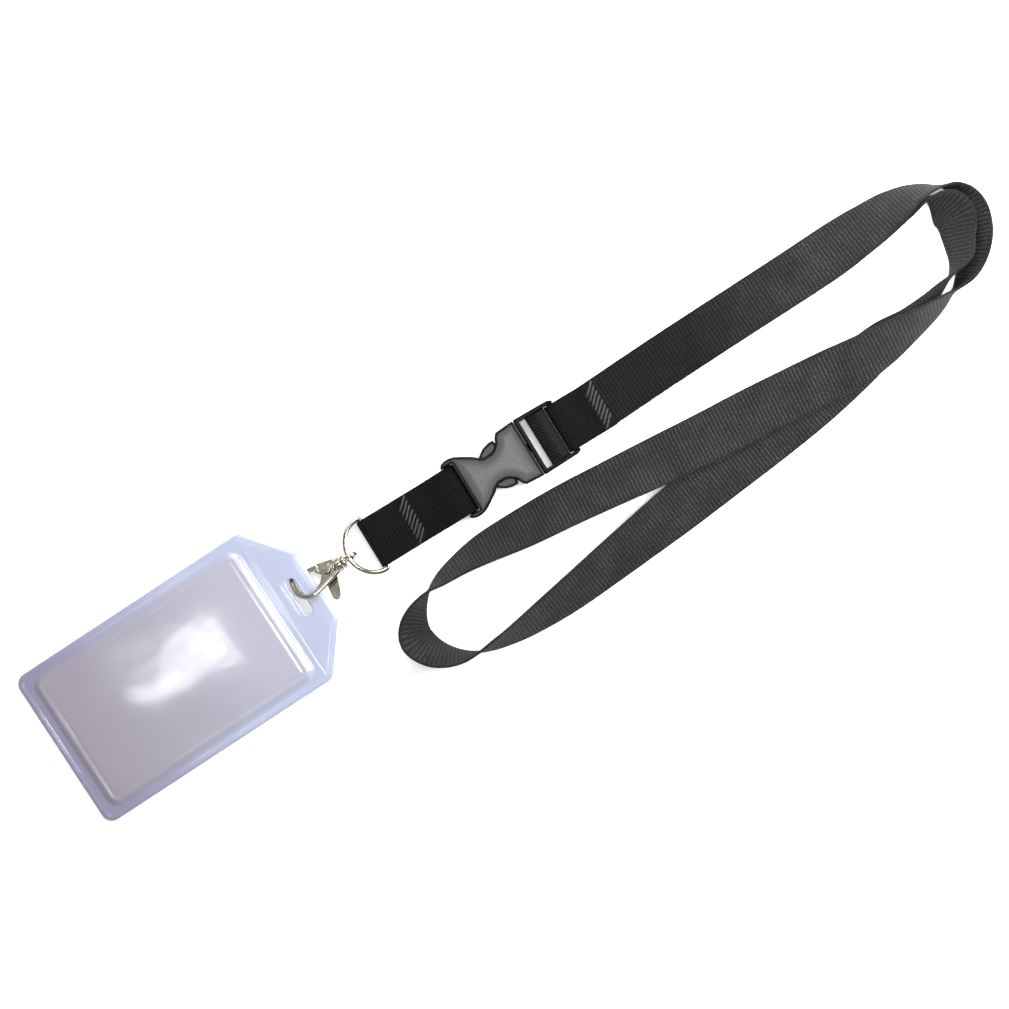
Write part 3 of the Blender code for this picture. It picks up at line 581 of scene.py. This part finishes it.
# the neck strap's route, in millimetres: its middle in plan, the height of its lowest edge, and its
# bank in degrees, positive where its right-hand edge is raised
neckRoute = [
    (44.6, 0.0, 1.3, 0),
    (57.7, 0.6, 1.3, 0),
    (76.9, 1.4, 1.3, 0),
    (96.2, 2.0, 1.3, 0),
    (115.4, 2.5, 1.3, 0),
    (134.6, 3.0, 1.3, 0),
    (153.8, 3.8, 1.4, 8),
    (163.5, 4.6, 1.4, 22),
    (173.1, 5.2, 1.3, 34),
    (182.7, 6.0, 1.1, 47),
    (192.3, 6.1, 0.8, 65),
    (200.0, 4.2, 0.4, 79),
    (205.8, 1.0, 0.0, 91),
    (207.7, -3.8, 0.0, 107),
    (207.5, -10.2, 0.0, 123),
    (205.0, -17.9, 0.0, 125),
    (200.4, -25.6, 0.0, 113),
    (193.3, -31.0, 0.0, 104),
    (187.5, -33.7, 0.0, 90),
    (180.8, -35.2, 0.0, 76),
    (173.1, -36.2, 0.3, 66),
    (163.5, -36.8, 1.1, 53),
    (153.8, -37.3, 1.6, 39),
    (144.2, -37.5, 2.1, 28),
    (130.8, -36.5, 2.5, 15),
    (115.4, -35.3, 2.1, 5),
    (96.2, -33.6, 1.6, -2),
    (76.9, -32.2, 0.7, -9),
    (57.7, -30.3, 0.1, -17),
    (38.5, -28.3, 0.0, -27),
    (19.2, -26.4, 0.0, -34),
    (0.0, -25.1, 0.0, -42),
    (-19.2, -23.8, 0.0, -57),
    (-28.8, -24.1, 0.0, -67),
    (-38.5, -25.3, 0.0, -78),
    (-44.6, -26.7, 0.0, -91),
    (-51.7, -30.8, 0.0, -109),
    (-56.0, -35.4, 0.0, -122),
    (-57.7, -40.2, 0.0, -128),
    (-55.4, -46.7, 0.0, -122),
    (-50.8, -51.7, 0.0, -111),
    (-45.8, -54.8, 0.0, -100),
    (-40.4, -56.5, 0.0, -89),
    (-34.2, -57.3, 0.0, -79),
    (-26.9, -57.7, 0.0, -71),
    (-19.2, -57.6, 0.0, -63),
    (0.0, -56.2, 0.0, -48),
    (19.2, -53.9, 0.0, -37),
    (38.5, -51.5, 0.0, -25),
    (57.7, -49.2, 0.0, -10),
    (76.9, -47.1, 0.0, -3),
    (96.2, -45.1, 0.0, -1),
    (115.4, -42.7, 0.0, -4),
    (130.8, -40.2, 0.0, -13),
    (144.2, -37.9, 0.0, -27),
    (153.8, -36.0, 0.0, -40),
    (163.5, -35.2, 0.0, -54),
    (173.1, -33.1, 0.0, -66),
    (181.7, -30.4, 0.0, -77),
    (189.4, -27.9, 0.0, -89),
    (195.2, -23.7, 0.0, -108),
    (198.8, -16.7, 0.0, -119),
    (201.5, -10.6, 0.0, -132),
    (201.2, -6.3, 0.0, -131),
    (200.0, -2.9, 0.0, -119),
    (198.1, 0.2, 0.0, -98),
    (195.2, 2.7, 0.0, -78),
    (191.3, 4.2, 0.0, -64),
    (182.7, 4.8, 0.0, -47),
    (173.1, 4.4, 0.0, -34),
    (163.5, 4.0, 0.0, -22),
    (153.8, 3.5, 0.0, -8),
    (134.6, 2.9, 0.0, 0),
    (115.4, 2.5, 0.0, 0),
    (96.2, 2.0, 0.0, 0),
    (76.9, 1.4, 0.0, 0),
    (57.7, 0.6, 0.0, 0),
    (44.0, 0.0, 0.0, 0),
]

# the two webbing bars of the buckle and the D-ring's bar: x, height and the wrap's middle radius
plugBar = (32.2, 4.5, 2.2)
socketBar = (-13.8, 4.5, 2.2)
ringBar = (-52.4, 2.3, 1.8)


def smoothLine(points, step):
    # Catmull-Rom curve with knots spaced by the square root of the distance in its first two numbers
    points = [Vector(p) for p in points]
    padded = [points[0] * 2 - points[1], *points, points[-1] * 2 - points[-2]]
    line = []
    for p0, p1, p2, p3 in zip(padded, padded[1:], padded[2:], padded[3:]):
        knots = [0.0]
        for a, b in ((p0, p1), (p1, p2), (p2, p3)):
            knots.append(knots[-1] + math.sqrt(max((b - a).to_2d().length, 1e-6)))
        k0, k1, k2, k3 = knots
        pieces = max(2, round((p2 - p1).to_2d().length / step))
        for i in range(pieces):
            u = k1 + (k2 - k1) * i / pieces
            a1 = p0.lerp(p1, (u - k0) / (k1 - k0))
            a2 = p1.lerp(p2, (u - k1) / (k2 - k1))
            a3 = p2.lerp(p3, (u - k2) / (k3 - k2))
            b1 = a1.lerp(a2, (u - k0) / (k2 - k0))
            b2 = a2.lerp(a3, (u - k1) / (k3 - k1))
            line.append(b1.lerp(b2, (u - k1) / (k2 - k1)))
    line.append(points[-1])
    return line


def arcPoints(middle, radius, start, end, steps):
    angles = [math.radians(start + (end - start) * i / steps) for i in range(steps + 1)]
    return [(middle[0] + radius * math.cos(a), middle[1] + radius * math.sin(a)) for a in angles]


def bankedStations(route):
    # each station is the strap's middle and its direction across, both as vectors in metres
    line = smoothLine(route, 1.5)
    halfWidth = strapCut["width"] / 2
    halfThickness = strapCut["thickness"] / 2
    stations = []
    for i, place in enumerate(line):
        ahead = (line[min(i + 1, len(line) - 1)] - line[max(i - 1, 0)]).to_2d().normalized()
        bank = math.radians(place[3])
        height = place[2] * mm + halfWidth * abs(math.sin(bank)) + halfThickness * abs(math.cos(bank))
        across = Vector((ahead.y * math.cos(bank), -ahead.x * math.cos(bank), math.sin(bank)))
        stations.append((Vector((place[0] * mm, place[1] * mm, height)), across))
    return stations


def sideStations(profile, y, across):
    line = smoothLine(profile, 0.5)
    return [(Vector((p[0] * mm, y * mm, p[1] * mm)), Vector((0, across, 0))) for p in line]


def evenStations(stations, step):
    # the same run with stations an even step apart, and the distance along it
    lengths = [0.0]
    for (a, _), (b, _) in zip(stations, stations[1:]):
        lengths.append(lengths[-1] + (b - a).length)
    count = round(lengths[-1] / step)
    even = []
    segment = 0
    for i in range(count + 1):
        distance = lengths[-1] * i / count
        while segment < len(stations) - 2 and lengths[segment + 1] < distance:
            segment += 1
        span = max(lengths[segment + 1] - lengths[segment], 1e-9)
        share = (distance - lengths[segment]) / span
        middle = stations[segment][0].lerp(stations[segment + 1][0], share)
        across = stations[segment][1].lerp(stations[segment + 1][1], share).normalized()
        even.append((middle, across, distance))
    return even, lengths[-1]


def strapSection():
    # places round the strap's section as (across, out of the face, share of the rib's height)
    halfWidth = strapCut["width"] / 2
    halfThickness = strapCut["thickness"] / 2 - strapCut["ribHeight"]
    corner = strapCut["edgeRound"]
    columns = strapCut["columns"]
    places = []
    for side in (1, -1):
        for i in range(columns + 1):
            share = 1 - 2 * i / columns
            places.append((side * share * (halfWidth - corner), side * halfThickness, 1.0))
        for angle in (60, 0, -60):
            turn = math.radians(angle)
            out = halfWidth - corner + corner * math.cos(turn)
            rise = halfThickness * math.sin(turn) / math.sin(math.radians(75))
            places.append((-side * out, side * rise, 0.3))
    return places


def makeWebbing(name, stations, material, isDoubled=False):
    even, length = evenStations(stations, strapCut["step"])
    section = strapSection()
    bm = bmesh.new()
    weave = bm.loops.layers.uv.new("weave")
    darkEndAndShade = bm.verts.layers.float.new("darkEndAndShade")
    rings = []
    for i, (middle, across, distance) in enumerate(even):
        before = even[max(i - 2, 0)][0]
        after = even[min(i + 2, len(even) - 1)][0]
        up = across.cross((after - before).normalized()).normalized()
        rise = 0.5 + 0.5 * math.cos(2 * math.pi * distance / webbingLook["ribPitch"])
        ring = []
        for side, out, share in section:
            lift = strapCut["ribHeight"] * rise * share * (1 if out > 0 else -1)
            ring.append(bm.verts.new(middle + across * side + up * (out + lift)))
        rings.append(ring)
        # the sewn end is drawn dark, and past it a painted shade darkens the strand beside the buckle,
        # fading out along it
        if isDoubled and abs(middle.y) < strapCut["besideBuckle"]:
            fading = (strapCut["fadeEnd"] - middle.x) / (strapCut["fadeEnd"] - strapCut["fadeStart"])
            share = strapCut["paintedShadeShare"] * min(max(fading, 0.0), 1.0)
            if middle.x < strapCut["doubledTo"]:
                share = 1.0
            for vert in ring:
                vert[darkEndAndShade] = share
    count = len(section)
    spread = [side for side, _, _ in section]
    for i in range(len(rings) - 1):
        for j in range(count):
            k = (j + 1) % count
            face = bm.faces.new((rings[i][j], rings[i][k], rings[i + 1][k], rings[i + 1][j]))
            face.smooth = True
            corners = ((i, j), (i, k), (i + 1, k), (i + 1, j))
            for loop, (row, column) in zip(face.loops, corners):
                loop[weave].uv = (spread[column], even[row][2])
    for ring in (rings[0], rings[-1]):
        face = bm.faces.new(ring)
        for loop in face.loops:
            loop[weave].uv = (0, 0)
    bmesh.ops.recalc_face_normals(bm, faces=bm.faces)
    return finishedPiece(name, bm, material), length


def makeNeckStrap():
    x, z, radius = plugBar
    under = [(44.0, 0.5), (41.5, 0.52), (38.5, 0.75), (35.2, 1.9)]
    around = arcPoints((x, z), radius, 270, 90, 10)
    over = [(35.4, 6.3), (38.0, 5.3), (40.4, 4.2), (42.8, 3.4), (45.5, 3.1), (50.8, 3.1)]
    stations = bankedStations(neckRoute)[:-1] + sideStations(under + around + over, 0, 1)
    strap, length = makeWebbing("neckStrap", stations, webbing, isDoubled=True)
    print("neck strap length", round(length, 4))
    declare(strap, "neck_strap", "neck_lanyard")


def makeEndStrap():
    x, z, radius = ringBar
    outer = [(-32.8, 3.1), (-36.0, 3.1), (-39.0, 3.1), (-43.5, 3.45), (-48.0, 3.9)]
    aroundRing = arcPoints((x, z), radius, 90, 270, 10)
    under = [(-48.0, 0.5), (-44.0, 0.5), (-32.0, 0.5), (-24.0, 0.5), (-20.0, 0.8), (-17.0, 1.7)]
    x, z, radius = socketBar
    aroundBar = arcPoints((x, z), radius, -90, 90, 10)
    inner = [(-17.2, 6.2), (-20.5, 4.8), (-24.0, 3.1), (-27.5, 1.9), (-31.0, 1.8)]
    inner += [(-35.0, 1.8), (-39.6, 1.8)]
    stations = sideStations(outer + aroundRing + under + aroundBar + inner, 0, 1)
    strap, length = makeWebbing("endStrap", stations, blackWebbing)
    print("end strap length", round(length, 4))
    declare(strap, "end_strap", "socket_end")


makeNeckStrap()
makeEndStrap()
print("straps made")

tackLook = {
    "neckX": 48.4 * mm,
    "endX": -35.6 * mm,
    "height": 3.85 * mm,
    "length": 4.6 * mm,  # along the strap
    "rise": 4.4 * mm,  # across it
    "pitch": 2.05 * mm,
    "strokes": 8,
    "radius": 0.38 * mm,
    "sink": 0.3 * mm,  # the ends go down into the webbing
    "rings": 14,
    "sides": 10,
    "wobble": 0.05 * mm,
}


def makeTack(name, middleX, node, body):
    # a column of slanted stitches, each a thread that comes up, lies across the webbing and goes down
    bm = bmesh.new()
    for i in range(tackLook["strokes"]):
        middleY = (i - (tackLook["strokes"] - 1) / 2) * tackLook["pitch"]
        along = Vector((tackLook["length"], tackLook["rise"], 0))
        aside = Vector((-along.y, along.x, 0)).normalized()
        rings = []
        for j in range(tackLook["rings"] + 1):
            share = 2 * j / tackLook["rings"] - 1
            drop = tackLook["sink"] * abs(share) ** 5
            wobble = tackLook["wobble"] * math.sin(5.1 * i + 3 * share)
            middle = Vector((middleX, middleY, tackLook["height"]))
            middle += along * share / 2 + aside * wobble
            middle.z -= drop
            radius = tackLook["radius"] * (1 - 0.5 * abs(share) ** 8)
            ring = []
            for k in range(tackLook["sides"]):
                turn = 2 * math.pi * k / tackLook["sides"]
                twist = 1 + 0.08 * math.cos(2 * turn + 9 * share)
                upward = Vector((0, 0, radius * 0.5 * twist * math.sin(turn)))
                place = middle + aside * radius * twist * math.cos(turn) + upward
                ring.append(bm.verts.new(place))
            rings.append(ring)
        for ring, after in zip(rings, rings[1:]):
            for k in range(tackLook["sides"]):
                m = (k + 1) % tackLook["sides"]
                bm.faces.new((ring[k], ring[m], after[m], after[k])).smooth = True
        bm.faces.new(rings[0])
        bm.faces.new(rings[-1])
    bmesh.ops.recalc_face_normals(bm, faces=bm.faces)
    declare(finishedPiece(name, bm, thread), node, body)


makeTack("neckTack", tackLook["neckX"], "neck_strap_stitching", "neck_lanyard")
makeTack("endTack", tackLook["endX"], "end_strap_stitching", "socket_end")
print("stitches made")

# the card holder is laid out in millimetres in a frame of its own, with its slot's middle at the origin:
# x along it towards the tab, y across, z out of its front
holderLook = {
    "slotPlace": (-87.6 * mm, -2.7 * mm, 4.6 * mm),
    "yaw": math.radians(1.75),
    "rise": 4.6,  # of the slot over the tail, which lies on the table
    "tail": 109.9,
    "half": 33.2,
    "corner": 4.5,
    "shoulderX": -8.4,
    "tabTop": 8.1,
    "tabHalf": 15.4,
    "tabCorner": 4.0,
    "tabSetIn": 1.9,
    "slotHalf": (1.85, 7.9),
    "slotCorner": 1.85,
    "mouthMiddle": -12.85,  # the gap in the back sheet where a card goes in
    "mouthHalf": (1.1, 28.15),
    "mouthCorner": 0.3,
    "windowMiddle": -57.8,
    "windowHalf": (46.5, 28.6),
    "windowCorner": 4.0,
    "rimTop": 1.2,
    "windowTop": 2.35,
    "windowCrown": 0.25,
    "frontThickness": (0.65, 0.45),  # at the rim and in the window
    "backThickness": 0.45,
    "weldLines": (-8.3, -6.6),
    "frontCell": 0.55,
    "backCell": 1.1,
    "borderCut": 0.15,  # a cell is kept if its middle lies at least this share of it inside
    "gradientStep": 0.01,
}


def holderOutline():
    tail, half, corner = holderLook["tail"], holderLook["half"], holderLook["corner"]
    tabTop, tabHalf, tabCorner = (holderLook[name] for name in ("tabTop", "tabHalf", "tabCorner"))
    upper = arcPoints((-tail + corner, half - corner), corner, 180, 90, 10)
    upper += arcPoints((holderLook["shoulderX"], half - tabCorner), tabCorner, 90, 50, 6)
    upper += arcPoints((tabTop - tabCorner, tabHalf - holderLook["tabSetIn"]), tabCorner, 50, 0, 8)
    return upper + [(x, -y) for x, y in reversed(upper)]


def outlineDistance(points, outline):
    # signed distance of each point from a closed outline, negative inside
    best = np.full(len(points), 1e9)
    inside = np.zeros(len(points), bool)
    for (ax, ay), (bx, by) in zip(outline, outline[1:] + outline[:1]):
        edge = np.array((bx - ax, by - ay))
        if not edge.any():
            continue
        toPoint = points - np.array((ax, ay))
        share = np.clip(toPoint @ edge / (edge @ edge), 0, 1)
        best = np.minimum(best, np.hypot(*(toPoint - share[:, None] * edge).T))
        if ay != by:
            crosses = (ay > points[:, 1]) != (by > points[:, 1])
            inside ^= crosses & (points[:, 0] < (bx - ax) * (points[:, 1] - ay) / (by - ay) + ax)
    return np.where(inside, -best, best)


def roundedBoxDistance(points, middle, half, corner):
    q = np.abs(points - np.array(middle)) - np.array(half) + corner
    outside = np.hypot(*np.maximum(q, 0).T)
    return outside + np.minimum(q.max(axis=1), 0) - corner


def slotDistance(points):
    return roundedBoxDistance(points, (0, 0), holderLook["slotHalf"], holderLook["slotCorner"])


def mouthDistance(points):
    return roundedBoxDistance(
        points, (holderLook["mouthMiddle"], 0), holderLook["mouthHalf"], holderLook["mouthCorner"]
    )


def smoothStep(value, low, high):
    t = np.clip((value - low) / (high - low), 0, 1)
    return t * t * (3 - 2 * t)


def bead(distance, at, width):
    return np.exp(-(((distance - at) / width) ** 2))


def frontHeights(points, edge):
    # top and underside of the front sheet, and how far each place belongs to the window
    inWindow = -roundedBoxDistance(
        points, (holderLook["windowMiddle"], 0), holderLook["windowHalf"], holderLook["windowCorner"]
    )
    x, y = points.T
    window = smoothStep(inWindow, -1.0, 1.6)
    top = holderLook["rimTop"] + (holderLook["windowTop"] - holderLook["rimTop"]) * window
    top -= 0.35 * (1 - smoothStep(edge, 0.0, 0.5))
    top += 0.16 * bead(edge, 1.3, 0.4)
    top += 0.08 * bead(inWindow, 1.6, 0.5) - 0.12 * bead(inWindow, 2.9, 0.6)
    crown = np.clip(1 - ((x - holderLook["windowMiddle"]) / 46) ** 2, 0, 1)
    crown *= np.clip(1 - (y / 28) ** 2, 0, 1)
    ripples = 0.05 * np.sin(x / 7.0 + 0.6 * np.sin(y / 9.0)) + 0.04 * np.sin(y / 6.0 + x / 17.0)
    top += window * (holderLook["windowCrown"] * crown + ripples)
    # two weld lines across the tab end, stopping short of its sides, and a lip round the slot
    welded = smoothStep(edge, 2.0, 3.5)
    first, second = holderLook["weldLines"]
    top += 0.1 * welded * (bead(x, first, 0.35) + 0.5 * bead(x, second, 0.3))
    top += 0.05 * bead(slotDistance(points), 1.2, 0.4)
    atRim, atWindow = holderLook["frontThickness"]
    thickness = atRim - (atRim - atWindow) * window
    return top, top - thickness, window


def backHeights(points, edge):
    top = holderLook["backThickness"] - 0.15 * (1 - smoothStep(edge, 0.0, 0.5))
    return top, np.zeros(len(points)), np.ones(len(points))


def makeSheet(name, node, cell, heights, holes):
    # a fine sheet on a square grid, whose outermost corners are pulled onto its outline and its holes
    outline = holderOutline()
    across = round(2 * holderLook["half"] / cell)
    along = round((holderLook["tail"] + holderLook["tabTop"]) / cell)
    xs = np.linspace(-holderLook["tail"], holderLook["tabTop"], along + 1)
    ys = np.linspace(-holderLook["half"], holderLook["half"], across + 1)
    points = np.array([(x, y) for x in xs for y in ys])
    index = np.arange(len(points)).reshape(along + 1, across + 1)

    def distance(places):
        parts = [outlineDistance(places, outline)] + [-hole(places) for hole in holes]
        return np.max(parts, axis=0)

    corners = (index[:-1, :-1], index[1:, :-1], index[1:, 1:], index[:-1, 1:])
    cells = np.stack(corners, axis=-1).reshape(-1, 4)
    cells = cells[distance(points[cells].mean(axis=1)) < -holderLook["borderCut"] * cell]
    used = np.zeros(len(points), int)
    np.add.at(used, cells.reshape(-1), 1)
    borders = np.where((used > 0) & (used < 4))[0]
    nudge = holderLook["gradientStep"]
    for _ in range(3):
        here = distance(points[borders])
        east = distance(points[borders] + (nudge, 0)) - here
        north = distance(points[borders] + (0, nudge)) - here
        slope = np.stack((east, north), axis=1)
        slope /= np.maximum(np.hypot(*slope.T), 1e-9)[:, None]
        points[borders] -= slope * here[:, None]
    edge = -outlineDistance(points, outline)
    top, bottom, window = heights(points, edge)
    pitch = math.asin(holderLook["rise"] / holderLook["tail"])
    lie = Matrix.Translation(holderLook["slotPlace"]) @ Matrix.Rotation(holderLook["yaw"], 4, "Z")
    lie = lie @ Matrix.Rotation(-pitch, 4, "Y")
    bm = bmesh.new()
    share = bm.verts.layers.float.new("windowShare")
    layers = []
    for level in (top, bottom):
        verts = {}
        for i in np.where(used > 0)[0]:
            verts[i] = bm.verts.new(lie @ Vector((*(points[i] * mm), level[i] * mm)))
            verts[i][share] = window[i]
        layers.append(verts)
    upper, lower = layers
    sides = {}
    for corners in cells:
        bm.faces.new([upper[i] for i in corners]).smooth = True
        bm.faces.new([lower[i] for i in reversed(corners)]).smooth = True
        for a, b in zip(corners, np.roll(corners, -1)):
            sides[(a, b)] = None
    for a, b in sides:
        if (b, a) not in sides:
            bm.faces.new((upper[b], upper[a], lower[a], lower[b]))
    bmesh.ops.recalc_face_normals(bm, faces=bm.faces)
    sheet = finishedPiece(name, bm, vinyl)
    declare(sheet, node, "holder")
    print(name, len(sheet.data.polygons), "faces")


makeSheet("badgeFrontSheet", "badge_front_sheet", holderLook["frontCell"], frontHeights, (slotDistance,))
makeSheet(
    "badgeBackSheet",
    "badge_back_sheet",
    holderLook["backCell"],
    backHeights,
    (slotDistance, mouthDistance),
)
print("card holder made")

# cast and moulded pieces: node, name, body, material, slot, cell of the rebuilt surface in millimetres,
# rounds of easing, and how many millimetres its grained faces lie from the buckle's middle height
castPieces = (
    ("swivel_eye", "swivelEye", "eye", nickel, "nickel", 0.11, 10, None),
    ("hook_body", "hookBody", "hook", nickel, "nickel", 0.13, 12, None),
    ("hook_rivet", "hookRivet", "hook", nickel, "nickel", 0.09, 5, None),
    ("gate_lever", "gateLever", "gate", nickel, "nickel", 0.1, 7, None),
    ("d_ring", "dRing", "ring", nickel, "nickel", 0.17, 8, None),
    ("buckle_socket", "buckleSocket", "socket_end", acetal, "acetal", 0.26, 3, 4.5),
    ("buckle_plug", "bucklePlug", "neck_lanyard", acetal, "acetal", 0.2, 3, None),
    ("plug_arm_left", "plugArmLeft", "latch_arm_left", acetal, "acetal", 0.16, 4, 2.2),
    ("plug_arm_right", "plugArmRight", "latch_arm_right", acetal, "acetal", 0.16, 4, 2.2),
)
panelLook = {
    "middle": 4.5 * mm,  # the buckle's middle height
    "border": (0.35 * mm, 0.75 * mm),  # from the rounded edge to the step's start and its end
    "depth": 0.1 * mm,
    "crown": 5.0 * mm,  # from the edge to where the panel's middle is at its fullest
    "crownRise": 0.14 * mm,
    "stepShare": 0.3,  # how far a point just inside the step belongs to the panel; the rest of the share is a painted highlight, full at the crown
    "rim": 0.7 * mm,  # the rounded edge is looked for down to this far below the face
    "flatNormal": 0.985,
    "flatBelow": 0.1 * mm,
}


def easedShare(value, low, high):
    share = min(max((value - low) / (high - low), 0.0), 1.0)
    return share * share * (3 - 2 * share)


def setPanel(piece, reach):
    # sinks the flat faces a little inside a border, and marks how far each point belongs to the panel,
    # with a painted highlight share that grows toward the panel's middle
    mesh = piece.data
    edges = []
    flats = []
    for vert in mesh.vertices:
        offMiddle = abs(vert.co.z - panelLook["middle"])
        if offMiddle <= reach - panelLook["rim"]:
            continue
        isUpright = abs(vert.normal.z) > panelLook["flatNormal"]
        (flats if isUpright and offMiddle > reach - panelLook["flatBelow"] else edges).append(vert)
    tree = KDTree(len(edges))
    for i, vert in enumerate(edges):
        tree.insert(vert.co, i)
    tree.balance()
    low, high = panelLook["border"]
    shares = mesh.attributes.new("panelAndHighlight", "FLOAT", "POINT")
    for vert in flats:
        fromEdge = tree.find(vert.co)[2]
        step = easedShare(fromEdge, low, high)
        crown = easedShare(fromEdge, high, panelLook["crown"])
        # past the step the share is a painted highlight, lightest at the panel's middle
        stepShare = panelLook["stepShare"]
        shares.data[vert.index].value = stepShare * step + (1 - stepShare) * crown
        sinking = panelLook["depth"] * step - panelLook["crownRise"] * crown
        vert.co.z -= math.copysign(sinking, vert.co.z - panelLook["middle"])


def applyModifier(piece, kind, **settings):
    modifier = piece.modifiers.new(kind.lower(), kind)
    for name, value in settings.items():
        setattr(modifier, name, value)
    bpy.ops.object.modifier_apply(modifier=modifier.name)


def makeCastPiece(node, name, body, material, slotName, cell, rounds, panelReach):
    # the shape with its inner corners filled and its edges eased, as a casting or a moulding leaves them
    deselectAll()
    piece = bpy.data.objects.new(name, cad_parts[node].data.copy())
    bpy.context.scene.collection.objects.link(piece)
    piece.select_set(True)
    bpy.context.view_layer.objects.active = piece
    bpy.ops.object.mode_set(mode="EDIT")
    bpy.ops.mesh.select_all(action="SELECT")
    bpy.ops.mesh.remove_doubles(threshold=1e-6)
    bpy.ops.object.mode_set(mode="OBJECT")
    applyModifier(piece, "REMESH", mode="VOXEL", voxel_size=cell * mm)
    applyModifier(piece, "SMOOTH", factor=0.5, iterations=rounds)
    if panelReach is not None:
        setPanel(piece, panelReach * mm)
    bpy.ops.object.shade_smooth()
    piece.data.materials.clear()
    piece.data.materials.append(material)
    declare(piece, node, body)
    print(name, len(piece.data.polygons), "faces")


for settings in castPieces:
    makeCastPiece(*settings)
print("buckle and hook made")

springLook = {
    "middle": (-73.3 * mm, 0.0, 5.2 * mm),
    "tilt": math.radians(27),
    "radius": 1.24 * mm,
    "wire": 0.14 * mm,
    "low": -1.85 * mm,
    "high": -1.15 * mm,
    "turns": 2.5,
    "leg": -2.2 * mm,
}


def makeSpring():
    deselectAll()
    turns, radius = springLook["turns"], springLook["radius"]
    count = round(turns * 32)
    places = [(radius, springLook["leg"], springLook["low"])]
    for i in range(count + 1):
        angle = 2 * math.pi * turns * i / count
        height = springLook["low"] + (springLook["high"] - springLook["low"]) * i / count
        places.append((radius * math.cos(angle), radius * math.sin(angle), height))
    places.append((-radius, springLook["leg"], springLook["high"]))
    curve = bpy.data.curves.new("gateSpring", "CURVE")
    curve.dimensions = "3D"
    curve.bevel_depth = springLook["wire"]
    curve.bevel_resolution = 2
    curve.use_fill_caps = True
    spline = curve.splines.new("POLY")
    spline.points.add(len(places) - 1)
    lie = Matrix.Translation(springLook["middle"]) @ Matrix.Rotation(math.pi, 4, "Z")
    lie = lie @ Matrix.Rotation(springLook["tilt"], 4, "X")
    for point, place in zip(spline.points, places):
        point.co = (*(lie @ Vector(place)), 1)
    spring = bpy.data.objects.new("gateSpring", curve)
    bpy.context.scene.collection.objects.link(spring)
    spring.select_set(True)
    bpy.context.view_layer.objects.active = spring
    bpy.ops.object.convert(target="MESH")
    spring = bpy.context.object
    bpy.ops.object.mode_set(mode="EDIT")
    bpy.ops.mesh.select_all(action="SELECT")
    bpy.ops.mesh.remove_doubles(threshold=1e-6)
    bpy.ops.mesh.normals_make_consistent(inside=False)
    bpy.ops.object.mode_set(mode="OBJECT")
    bpy.ops.object.shade_smooth()
    spring.data.materials.clear()
    spring.data.materials.append(springWire)
    declare(spring, "gate_spring", "hook")


makeSpring()
print("spring made")
